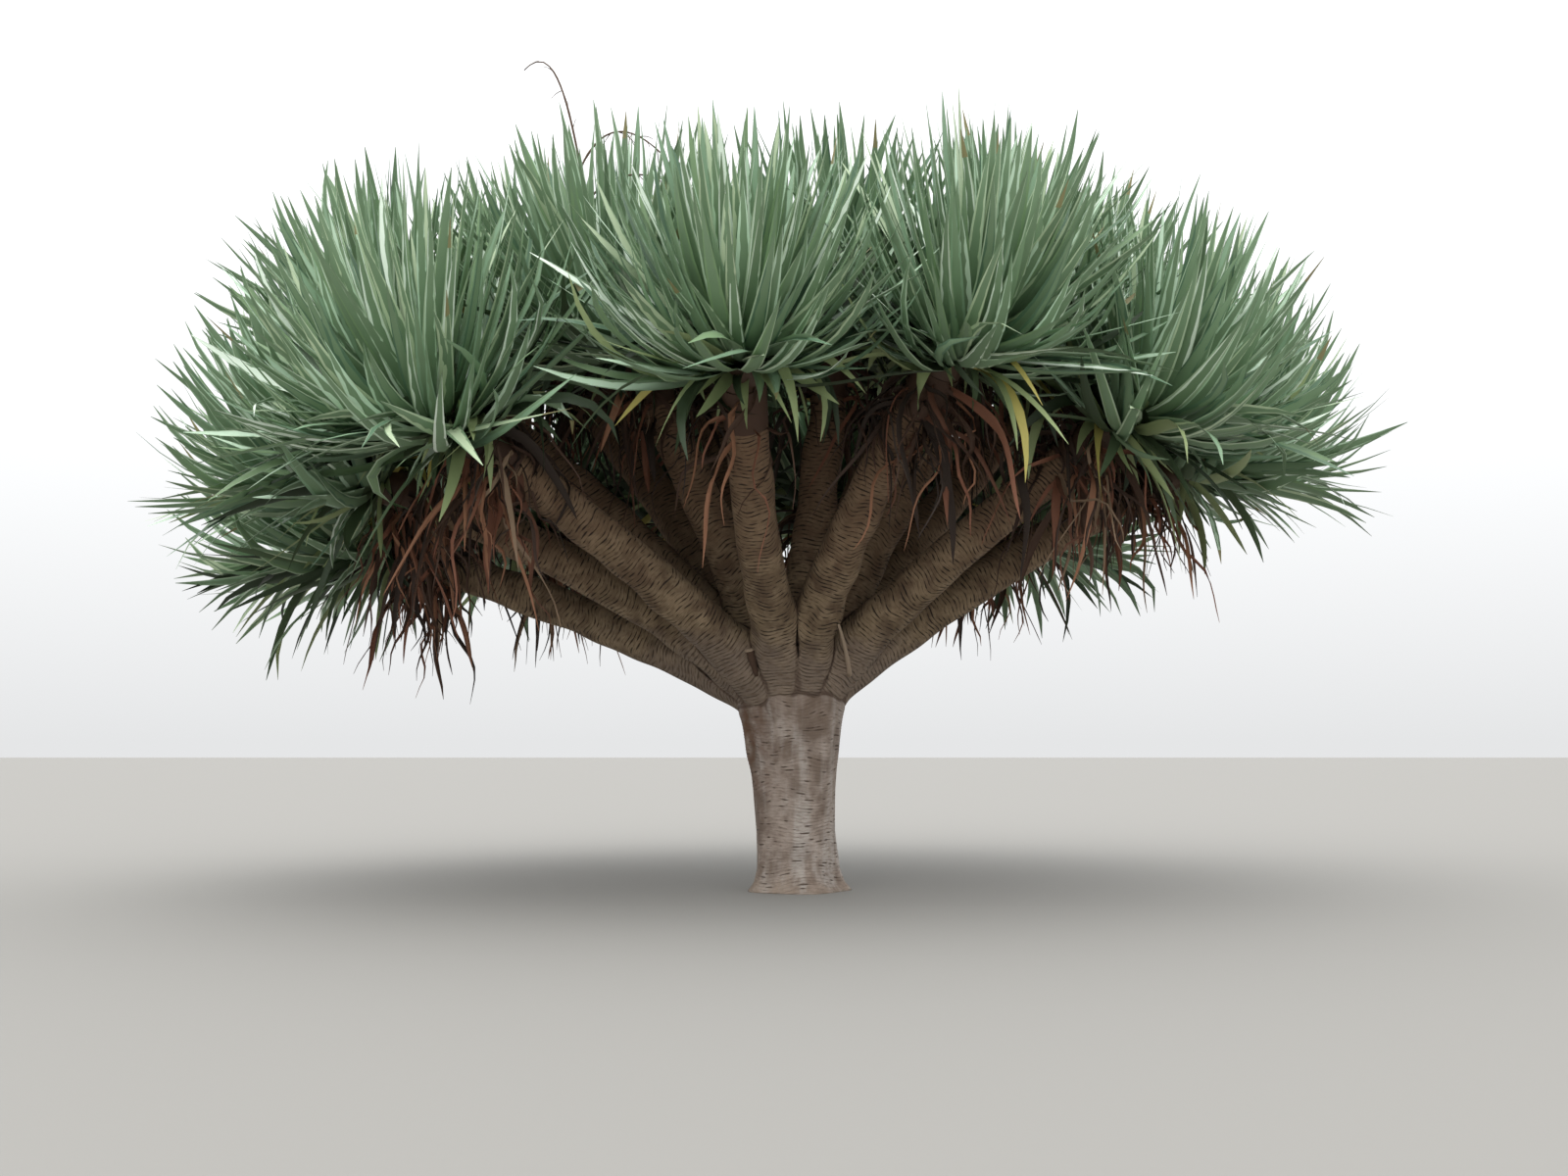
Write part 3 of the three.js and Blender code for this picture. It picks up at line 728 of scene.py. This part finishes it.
def grow_leaves(limb, limbs, others, rng):
    """Paths, headings, upper sides and ages of the leaves that fit into a rosette's space,
    and which of them hang limp. One that doesn't fit is shortened or lifted until it does, or
    left out."""
    bends, upper, age, hanging = leaf_bends(limb, rng)
    root, heading, length, spring, sweep, curl = bends
    path, ways = leaf_path(*bends)
    placed = leaf_fits(path, limb, limbs, others) & beyond_joint(limb, path)
    placed &= ~hanging
    placed |= hanging & (rng.random(LEAF_COUNT) < HANGING_SHARE)
    slope = unit(path[:, -1] - path[:, 0])[:, 2]
    steep_loss = STEEP_LOSS if limb.eye[2] < INNER_HEIGHT else 0
    is_steep = (slope < STEEP) & (rng.random(LEAF_COUNT) < steep_loss) & ~hanging
    crowded = rng.random(LEAF_COUNT) < CROWDED_SHARE
    tries = [(share, spring, crowded) for share in SHORTER]
    tries += [(1.0, np.full(LEAF_COUNT, lift), True) for lift in LIFTS]
    for share, lift, allowed in tries:
        next_path, next_ways = leaf_path(root, heading, length * share, lift, sweep, curl)
        fits = leaf_fits(next_path, limb, limbs, others) & beyond_joint(limb, next_path)
        chosen = fits & allowed & ~placed & ~hanging & ~is_steep
        path[chosen] = next_path[chosen]
        ways[chosen] = next_ways[chosen]
        placed |= chosen
    placed &= ~is_steep
    return path[placed], ways[placed], upper[placed], age[placed], hanging[placed]


def beyond_joint(limb, path):
    """Whether each leaf stays in front of the joint between skirt and rosette."""
    return ((path - limb.line.at(limb.joint)) @ limb.heading).min(axis=1) > 0


def leaf_points(path, ways, upper, width, twist):
    """Six points round each ring: groove, two inner points, two edges and the keel below."""
    t = np.linspace(0, 1, LEAF_RINGS)[None, :]
    normal = upper[:, None, :] - (upper[:, None, :] * ways).sum(-1, keepdims=True) * ways
    normal = unit(normal)
    across, above = twisted(np.cross(ways, normal), normal, twist, LEAF_RINGS)
    swelling = mix(0.80, 1.0, smooth_step(0, 0.3, t))
    taper = np.maximum(1 - t**2.7, 0) ** 0.95
    half = 0.5 * width[:, None] * swelling * (0.97 * taper + 0.03)
    fold = half * mix(0.36, 0.10, t)
    keel = LEAF_THICKNESS * mix(1.0, 0.22, smooth_step(0, 0.7, t)) * (0.8 * taper + 0.2)
    section = [
        (0 * half, 0 * fold),
        (0.80 * half, 0.62 * fold),
        (half, fold),
        (0 * half, -keel),
        (-half, fold),
        (-0.80 * half, 0.62 * fold),
    ]
    return strip_points(path, across, above, section)


def in_shade(tips, rng):
    """Which leaves are in the crown's shade: most of those that stay inside it or hang low,
    other than at its rim."""
    offsets = (tips - CROWN_MIDDLE) / CROWN_RADII
    depth = np.linalg.norm(offsets, axis=1)
    at_rim = RIM_LIGHT * smooth_step(0.82, 0.96, np.linalg.norm(offsets[:, :2], axis=1))
    is_open = np.maximum(smooth_step(0.75, 1.25, tips[:, 2]), at_rim)
    return rng.random(len(tips)) > smooth_step(0.55, 0.86, depth) * is_open


def leaf_tints(tips, age, hanging, rng):
    """The tint of each side face and each end face of the leaves."""
    count = len(age)
    body = rng.integers(0, BODY_TINTS, count)
    shade = in_shade(tips, rng)
    body = np.where(shade, rng.integers(BODY_TINTS, PLAIN_TINTS, count), body)
    old = smooth_step(0.6, 1.0, age)
    body = np.where(~shade & (rng.random(count) < AGEING_SHARE * old), AGEING, body)
    body = np.where(hanging & (rng.random(count) < HANGING_AGEING_SHARE), AGEING, body)
    body = np.where(hanging & (rng.random(count) < HANGING_YELLOWING_SHARE), YELLOWING, body)
    lit_tint = body < BODY_TINTS
    sides = np.empty((count, LEAF_RINGS - 1, LEAF_SIDES), int)
    sides[:] = body[:, None, None]
    edged = lit_tint & (rng.random(count) < EDGED_SHARE)
    sides[:, :, [1, 4]] = np.where(edged, MARGIN, body)[:, None, None]
    # The underside faces get a darker tint: partly the leaves' own duller undersides, partly
    # painted shade on the side that the sky doesn't light.
    sides[:, :, [2, 3]] = np.where(lit_tint, UNDERSIDE, body)[:, None, None]
    # The first two rings of each leaf get the dark base tint: painted shade where the leaves
    # crowd round the eye.
    sides[:, :2] = np.where(lit_tint, BASE, body)[:, None, None]
    browned = lit_tint & (rng.random(count) < 0.03 + 0.20 * old)
    sides[browned, -1] = TIP
    ends = np.full((count, LEAF_SIDES - 2), BASE)
    return sides.ravel(), ends.ravel()


def add_stem(shape, limb, start, end, radii, tint):
    """A part of a limb's stem as a closed tube. Its radii are those at each ring."""
    distances = np.linspace(start, end, len(radii))
    out = limb.ways_out(distances, full_turn(STEM_SIDES))
    points = limb.line.at(distances)[:, None, :] + out * radii[:, None, None]
    shape.add(points, tint)


def make_rosette(limb, limbs, others, everything, materials, rng):
    """The living leaves of one rosette on the leafy tip of its stem."""
    path, ways, upper, age, hanging = grow_leaves(limb, limbs, others, rng)
    path[hanging] = drape(path[hanging], everything, HANGING_ROOM)
    count = len(path)
    width = LEAF_WIDTH * rng.uniform(0.75, 1.15, count) * np.where(hanging, 0.8, 1.0)
    twist = rng.normal(0, 0.5, count) + np.where(hanging, rng.normal(0, 0.9, count), 0)
    points = leaf_points(path, ways, upper, width, twist)
    sides, ends = leaf_tints(path[:, -1], age, hanging, rng)
    shape = Shape()
    shape.add(points, np.concatenate([sides, ends]))
    radii = mix(LEAFY_RADIUS, STEM_TIP_RADIUS, np.linspace(0, 1, STEM_RINGS) ** 2)
    add_stem(shape, limb, limb.joint, limb.length, radii, STEM)
    name = f"leaves_{limb.name}"
    shape.piece(f"{name}.fine", materials, "leaf", [name], sharp_above=math.radians(55))


# Dead leaves


def ribbon_paths(limb, rng):
    """Centre lines that leave the skirt, bend over and hang, as (ribbon, ring, xyz), with
    their headings, the ways out from the skirt and which dead leaves are whole."""
    count = limb.dead
    whole = rng.random(count) < WHOLE_SHARE
    angle = rng.uniform(0, 2 * math.pi, count)[:, None]
    start = limb.bough_end + SKIRT_LENGTH * rng.uniform(-0.35, 1.05, count)
    out = limb.side * np.cos(angle) + limb.across(start) * np.sin(angle)
    root = limb.line.at(start) + out * SKIRT_RADIUS * 0.8
    length = RIBBON_LENGTH * rng.uniform(0.35, 1.2, count) * np.where(whole, WHOLE_LENGTH, 1)
    t = np.linspace(0, 1, RIBBON_RINGS)[None, :, None]
    sway = rng.normal(0, 0.30, (count, 1, 3)) * np.array([1, 1, 0])
    wave = rng.normal(0, 0.32, (count, 1, 3)) * np.sin(
        t * rng.uniform(4, 14, (count, 1, 1)) + rng.uniform(0, 6, (count, 1, 1))
    )
    wave *= np.where(whole, WHOLE_WAVE, 1)[:, None, None]
    stiffness = rng.uniform(0.2, 1.6, (count, 1, 1))
    away = out[:, None, :] * stiffness * (1 - t) ** 3
    ways = unit(away + UP * -1.1 * (t + 0.12) + sway + wave)
    steps = ways[:, 1:] * (length / (RIBBON_RINGS - 1))[:, None, None]
    return walked(root, steps), ways, out, whole


def drape(path, stretches, room):
    """Moves points that are inside a limb out to its surface, apart from the first ones."""
    moved = path.copy()
    for _ in range(3):
        outside, way_out = nearest_on(moved[:, 3:], stretches)
        push = np.maximum(room - outside, 0)[..., None]
        moved[:, 3:] += way_out * push
    return moved


def ribbon_points(path, ways, out, width, twist):
    """Four points round each ring of a thin, curled strip."""
    t = np.linspace(0, 1, RIBBON_RINGS)[None, :]
    edgeways = unit(np.cross(ways, out[:, None, :] + 1e-6))
    across, above = twisted(edgeways, np.cross(edgeways, ways), twist, RIBBON_RINGS)
    half = 0.5 * width[:, None] * (1 - t**2.0) ** 0.7 * mix(1.15, 1.0, t) + 0.0006
    thick = 0.0012 + 0.10 * half
    curl = 0.3 * half
    upper = (0 * half, 0.5 * thick - curl)
    lower = (0 * half, -0.5 * thick - curl)
    return strip_points(path, across, above, [upper, (half, curl), lower, (-half, curl)])


def ribbon_tints(limb, out, rng):
    """A tint for each dead leaf, dealt out as painted shade: those on the side towards the trunk
    are the darkest.
    """
    openness = smooth_step(-0.5, 0.6, out @ limb.outwards)
    # Most dead leaves of rosettes high in the crown get the darker tints too: painted shade.
    if limb.eye[2] > INNER_HEIGHT:
        openness *= 0.3
    lit_tint = rng.choice(LIT_RIBBON_TINTS, len(out), p=LIT_RIBBON_SHARES)
    shaded_tint = rng.choice(SHADED_RIBBON_TINTS, len(out))
    return np.where(rng.random(len(out)) < openness, lit_tint, shaded_tint)


def make_skirt(limb, stretches, materials, rng):
    """The dead leaves of one bough, on the stem under its rosette."""
    path, ways, out, whole = ribbon_paths(limb, rng)
    path = drape(path, stretches, RIBBON_ROOM)
    width = RIBBON_WIDTH * rng.uniform(0.5, 1.6, limb.dead) * np.where(whole, WHOLE_WIDTH, 1)
    twist = rng.normal(0, 2.2, limb.dead)
    points = ribbon_points(path, ways, out, width, twist)
    tint = ribbon_tints(limb, out, rng)
    sides = np.repeat(tint, (RIBBON_RINGS - 1) * RIBBON_SIDES)
    ends = np.repeat(tint, RIBBON_SIDES - 2)
    shape = Shape()
    shape.add(points, np.concatenate([sides, ends]))
    radii = np.full(STEM_RINGS, SKIRT_RADIUS)
    add_stem(shape, limb, limb.bough_end, limb.joint, radii, SKIRT_STEM_TINT)
    name = f"dry_leaves_{limb.name}"
    shape.piece(f"{name}.fine", materials, "dead leaf", [name], sharp_above=math.radians(70))


# Bark


class Fork:
    """The trunk and the lower boughs as round limbs whose surfaces flow into each other.
    The trunk is limb number 0, and the boughs follow in their order."""

    def __init__(self, limbs):
        outline = trunk_outline()
        heights = np.linspace(0, FORK_HEIGHT, FORK_POINTS)
        axis = np.stack([TRUNK_LEAN * heights / FORK_HEIGHT, 0 * heights, heights], axis=-1)
        axes = [axis]
        radii = [np.interp(heights, outline[:, 1], outline[:, 0])]
        distances = np.linspace(0, FORK_LENGTH, FORK_POINTS)
        for limb in limbs:
            axes.append(limb.line.at(distances))
            radii.append(limb.bough_radius(distances))
        axes = np.array(axes)
        radii = np.array(radii)
        self.starts = axes[:, :-1]
        self.along = axes[:, 1:] - axes[:, :-1]
        self.radii = radii[:, :-1], radii[:, 1:]

    def fields(self, points):
        """How far points are outside each limb, and the ways out, as (point, limb, ...)."""
        away, share = away_from(points[:, None, None, :], self.starts, self.along)
        lengths = np.linalg.norm(away, axis=-1) + 1e-9
        outside = lengths - mix(*self.radii, share)
        best = outside.argmin(-1)[..., None]
        nearest = np.take_along_axis(outside, best, -1)[..., 0]
        ways = np.take_along_axis(away / lengths[..., None], best[..., None], -2)[..., 0, :]
        nearest[:, 0] += self.head_bulges(points)
        return nearest, ways

    def head_bulges(self, points):
        """How uneven the trunk's head is, which makes its seams with the boughs wander."""
        turn = np.arctan2(points[:, 1], points[:, 0] - TRUNK_LEAN)
        return 0.006 * np.sin(5 * turn + 1.0) + 0.004 * np.sin(11 * turn + 0.5)

    def blended(self, points, own):
        """The points of one limb moved out to the smooth surface, and how near each one is to
        a seam, from 0 to 1. Points deep inside stay there."""
        moved = points.copy()
        for _ in range(3):
            outside, ways = self.fields(moved)
            weights = np.exp(-outside / FORK_BLEND)
            way = unit((weights[..., None] * ways).sum(-2))
            moved += way * FORK_BLEND * np.log(weights.sum(-1))[:, None]
        outside, _ = self.fields(moved)
        lead = outside[:, own] - np.delete(outside, own, axis=1).min(axis=1)
        moved -= way * FORK_TUCK * smooth_step(0.0, 0.012, lead)[:, None]
        is_deep = np.linalg.norm(moved - points, axis=1) > FORK_REACH
        moved[is_deep] = points[is_deep]
        return moved, np.exp(-((lead / SEAM_WIDTH) ** 2))


def set_bark(piece, girth, angle, rows, seam, stain):
    """Stores where each point is round the limb, its count of rows, its nearness to a seam
    and how stained it is, for the material."""
    values = np.stack([girth * np.cos(angle), girth * np.sin(angle), rows], axis=-1)
    attribute = piece.data.attributes.new("bark", "FLOAT_VECTOR", "POINT")
    attribute.data.foreach_set("vector", values.astype(np.float32).ravel())
    for name, share in (("seam", seam), ("stain", stain)):
        attribute = piece.data.attributes.new(name, "FLOAT", "POINT")
        attribute.data.foreach_set("value", share.astype(np.float32).ravel())


def blend_at_fork(fork, own, points, share):
    """A limb's points, blended into its neighbours where share is 1 and not where it is 0."""
    flat = points.reshape(-1, 3)
    share = np.broadcast_to(share, points.shape[:-1]).ravel()
    near = share > 0
    seam = np.zeros(len(flat))
    moved = flat.copy()
    blended, seam[near] = fork.blended(flat[near], own)
    moved[near] = mix(flat[near], blended, share[near, None])
    return moved.reshape(points.shape), (seam * share).reshape(points.shape[:-1])


def make_bough(limb, fork, own, material, rng):
    """A bough whose bark is ribbed by the rows of old leaf scars."""
    end = limb.bough_end + BOUGH_OVERLAP
    distances = mix(BOUGH_START, end, np.linspace(0, 1, BOUGH_RINGS)[:, None] ** 1.25)
    angle = full_turn(BOUGH_SIDES)[None, :]
    rows = distances / BOUGH_ROW_HEIGHT + 0.55 * ripples(rng, angle, distances, 7, 5, 26)
    swelling = 0.0030 * ripples(rng, angle, distances, 8, 3, 40)
    out = limb.ways_out(distances[:, 0], angle[0])
    centre = limb.line.at(distances[:, 0])[:, None, :]
    points = centre + out * limb.bough_radius(distances)[..., None]
    share = 1 - smooth_step(0.40, 0.55, distances)
    points, seam = blend_at_fork(fork, own, points, share)
    points += out * (swelling - BOUGH_SEAM_DEPTH * seam)[..., None]
    shape = Shape()
    shape.add(points, 0)
    name = f"bough_{limb.name}"
    piece = shape.piece(f"{name}.bark", [material], "bough bark", [name])
    set_bark(piece, limb.bough_radius(distances), angle, rows, seam, 0 * seam)


def trunk_outline():
    """Radius and height pairs from the ground up to the top of the domed head."""
    outline = [
        (FOOT_RADIUS, 0),
        (mix(FOOT_RADIUS, WAIST_RADIUS, 0.55), FOOT_HEIGHT * 0.4),
        (mix(FOOT_RADIUS, WAIST_RADIUS, 0.85), FOOT_HEIGHT),
        (WAIST_RADIUS, WAIST_HEIGHT),
        (mix(WAIST_RADIUS, HEAD_RADIUS, 0.2), mix(WAIST_HEIGHT, FORK_HEIGHT, 0.35)),
        (mix(WAIST_RADIUS, HEAD_RADIUS, 0.7), mix(WAIST_HEIGHT, FORK_HEIGHT, 0.72)),
    ]
    for angle in np.linspace(0, math.pi / 2, 12):
        radius = max(HEAD_RADIUS * math.cos(angle), 0.002)
        outline.append((radius, FORK_HEIGHT + HEAD_RADIUS * math.sin(angle)))
    return np.array(outline)


def make_trunk(fork, material, rng):
    """The trunk with its lobed foot, wrinkled bark and the head that the boughs leave."""
    outline = trunk_outline()
    distances = distances_along(outline)
    along = np.linspace(0, distances[-1], TRUNK_RINGS)
    radius = np.interp(along, distances, outline[:, 0])[:, None]
    height = np.interp(along, distances, outline[:, 1])[:, None]
    angle = full_turn(TRUNK_SIDES)[None, :]
    low = np.maximum(0, 1 - height / WAIST_HEIGHT)
    lobe = 1 + LOBE_DEPTH / FOOT_RADIUS * low * np.cos(FOOT_LOBES * angle)
    lean = TRUNK_LEAN * np.minimum(1, height / FORK_HEIGHT)
    out = np.stack([np.cos(angle), np.sin(angle), 0 * angle], axis=-1)
    points = out * (radius * lobe)[..., None]
    points += np.stack([lean, 0 * lean, height], axis=-1)
    share = smooth_step(0.36, 0.46, height)
    points, seam = blend_at_fork(fork, 0, points, share)
    seam = np.maximum(seam, trunk_crevice(angle, height))
    rows = height / TRUNK_ROW_HEIGHT + 0.8 * ripples(rng, angle, height, 8, 5, 30)
    wrinkle = 0.0007 * np.cos(2 * math.pi * rows)
    swelling = 0.0035 * ripples(rng, angle, height, 6, 4, 12)
    relief = (wrinkle + swelling) * smooth_step(0.0, 0.05, radius) - TRUNK_SEAM_DEPTH * seam
    points += out * relief[..., None]
    shape = Shape()
    shape.add(points, 0)
    piece = shape.piece("trunk.bark", [material], "trunk bark", ["trunk"])
    set_bark(piece, np.maximum(radius, 0.1), angle, rows, seam, trunk_stain(angle, height))


def turned_from(angle, bearing):
    """How far round the trunk an angle is from a bearing, from -pi to pi."""
    return np.angle(np.exp(1j * (angle - bearing)))


def trunk_crevice(angle, height):
    """A dark upright crack below the fork, 1 in its middle."""
    off = turned_from(angle, CREVICE_BEARING + 0.05 * np.sin(height * 60))
    upright = smooth_step(0.52, 0.60, height) * (1 - smooth_step(0.70, 0.73, height))
    return np.exp(-((off * HEAD_RADIUS / SEAM_WIDTH) ** 2)) * upright


def trunk_stain(angle, height):
    """The brown stain down the trunk's left side from the fork, 1 in its middle."""
    off = turned_from(angle, STAIN_BEARING)
    return np.exp(-((off / STAIN_WIDTH) ** 2)) * smooth_step(0.12, 0.50, height)


# The flower stalk


def stalk_lines(limb):
    """The stalk and the thin shoots that arch off it, each with the radius it starts with."""
    heading = limb.line.heading(limb.length)
    foot = limb.line.at(limb.length)
    start = foot + heading * STALK_HEIGHT * STALK_STRAIGHTNESS

    def at(x, z):
        return np.array([foot[0] + x, start[1], foot[2] + z])

    hook = at(STALK_DRIFT * STALK_HOOK_START, STALK_HOOK_HEIGHT)
    stalk = Line([foot, start, hook, at(STALK_DRIFT, STALK_HEIGHT)])
    lines = [(stalk, STALK_BASE_RADIUS)]
    for shoot in STALK_SHOOTS:
        fork = stalk.at(shoot["start"] * stalk.length)
        top = fork + np.array([shoot["reach"] * 0.35, 0, shoot["height"] * 1.8])
        end = fork + np.array([shoot["reach"], 0, shoot["height"] * 0.4])
        lines.append((Line([fork, top, end]), STALK_TIP_RADIUS + 0.001))
    return lines


def add_twig(shape, line, radius, end_radius, rings, rng, tint=0):
    """A thin uneven round twig along a line."""
    distances = np.linspace(0, line.length, rings)
    heading = line.heading(distances)
    side = unit(np.cross(heading, np.array([0.2, 1.0, 0.1])))
    across = np.cross(heading, side)
    angle = full_turn(TWIG_SIDES)[None, :, None]
    out = side[:, None, :] * np.cos(angle) + across[:, None, :] * np.sin(angle)
    girth = mix(radius, end_radius, distances / line.length) * rng.uniform(0.85, 1.2, rings)
    points = line.at(distances)[:, None, :] + out * girth[:, None, None]
    shape.add(points, tint)


def make_stalk(limb, material, rng):
    """The flower stalk and its shoots, with the short dry twigs that are left on them."""
    shape = Shape()
    for line, radius in stalk_lines(limb):
        add_twig(shape, line, radius, STALK_TIP_RADIUS * 0.7, STALK_RINGS, rng)
        for distance in np.arange(0.45, 0.98, 0.07) * line.length:
            start = line.at(distance)
            way = unit(line.heading(distance) + rng.normal(0, 0.7, 3))
            length = rng.uniform(0.02, 0.07)
            end = start + way * length - UP * length * 0.4
            twig = Line([start, start + way * length * 0.6, end])
            add_twig(shape, twig, *TWIG_RADII, 5, rng)
    shape.piece("flower_stalk.dry", [material], "dry stalk", ["flower_stalk"])


def make_stubs(rng):
    """The two dead stubs at the fork. They stand for no node of the model."""
    materials = [
        plain_material("pale dead wood", 0x9C8A77, DRY_ROUGHNESS),
        plain_material("brown dead wood", 0x4C3A2E, DRY_ROUGHNESS),
    ]
    shape = Shape()
    for stub in STUBS:
        add_twig(shape, Line(stub["points"]), *stub["radii"], 12, rng, stub["tint"])
    shape.piece("fork_stubs.dry", materials, "dry stalk", [])


# The tree


def make_tree():
    limbs = [Limb(name, **bough) for name, bough in BOUGHS.items()]
    leaf_looks = leaf_materials()
    ribbon_looks = ribbon_materials()
    trunk_bark = bark_material(
        "trunk bark",
        light=0xA6988D, dark=0x7A6A5E, warm=0x6E5846, slit=0x54453B,
        slits=(0.02, 26.0, 0.22), warm_from=0.66, warm_to=0.90, streak=0xBEB7B0,
        foot=0x8C7B6A, foot_from=0.10, foot_to=0.24,
    )
    bough_bark = bark_material(
        "bough bark",
        light=0x907D64, dark=0x5C4B3A, warm=0x775C47, slit=0x231B15,
        slits=(0.24, 34.0, 0.19), warm_from=0.95, warm_to=1.55, streak=0x7C6A52,
        foot=0x85766A, foot_from=0.84, foot_to=1.02,
    )
    stalk_bark = plain_material("dry stalk", 0x5D4A3C, DRY_ROUGHNESS)
    all_stretches = {limb.name: limb.stretches() for limb in limbs}
    everything = joined(all_stretches.values())
    fork = Fork(limbs)
    make_trunk(fork, trunk_bark, np.random.default_rng(7))
    make_stubs(np.random.default_rng(8))
    for index, limb in enumerate(limbs):
        rng = np.random.default_rng(1000 + index)
        others = joined(s for name, s in all_stretches.items() if name != limb.name)
        make_bough(limb, fork, index + 1, bough_bark, rng)
        make_skirt(limb, everything, ribbon_looks, rng)
        make_rosette(limb, limbs, others, everything, leaf_looks, rng)
        if limb.name == STALK_ROSETTE:
            make_stalk(limb, stalk_bark, np.random.default_rng(50))


# The stage


def make_floor():
    signs = [(-1, -1), (1, -1), (1, 1), (-1, 1)]
    corners = [(FLOOR_REACH * x, FLOOR_REACH * y, 0) for x, y in signs]
    mesh = bpy.data.meshes.new("floor")
    mesh.from_pydata(corners, [], [(0, 1, 2, 3)])
    mesh.materials.append(plain_material("pale floor", 0x918F8B, DRY_ROUGHNESS))
    new_object("floor", mesh)


def make_sky():
    """An overcast sky, about three times as bright overhead as at the horizon."""
    world = bpy.data.worlds.new("overcast sky")
    world.use_nodes = True
    tree = world.node_tree
    background = tree.nodes["Background"]
    background.inputs["Color"].default_value = (0.98, 0.99, 1.0, 1)
    direction = tree.nodes.new("ShaderNodeTexCoord").outputs["Generated"]
    parts = tree.nodes.new("ShaderNodeSeparateXYZ")
    brightness = tree.nodes.new("ShaderNodeMapRange")
    brightness.inputs["To Min"].default_value = 0.80
    brightness.inputs["To Max"].default_value = 2.2
    tree.links.new(direction, parts.inputs["Vector"])
    tree.links.new(parts.outputs["Z"], brightness.inputs["Value"])
    tree.links.new(brightness.outputs["Result"], background.inputs["Strength"])
    bpy.context.scene.world = world


def make_lights():
    make_sky()
    bpy.context.scene.view_settings.view_transform = "Standard"
    sun = bpy.data.lights.new("high light", "SUN")
    sun.energy = 1.0
    sun.angle = math.radians(70)
    sun.color = (1.0, 0.98, 0.95)
    lamp = new_object("high light", sun)
    lamp.rotation_euler = (math.radians(32), math.radians(-14), 0)


def make_camera():
    data = bpy.data.cameras.new("camera")
    data.lens = CAMERA_LENS
    data.sensor_width = SENSOR_WIDTH
    data.sensor_fit = "HORIZONTAL"
    data.clip_end = 200
    camera = new_object("camera", data)
    camera.location = CAMERA_PLACE
    camera.rotation_euler = (math.pi / 2 + CAMERA_PITCH, 0, 0)
    bpy.context.scene.camera = camera


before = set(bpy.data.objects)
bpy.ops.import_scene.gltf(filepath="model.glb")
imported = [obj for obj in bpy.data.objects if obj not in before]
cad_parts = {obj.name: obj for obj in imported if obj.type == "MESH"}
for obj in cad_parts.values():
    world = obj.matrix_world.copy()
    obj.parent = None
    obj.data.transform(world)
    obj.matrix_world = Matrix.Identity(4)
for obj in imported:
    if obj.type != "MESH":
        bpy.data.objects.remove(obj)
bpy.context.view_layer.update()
make_tree()
make_floor()
make_lights()
make_camera()
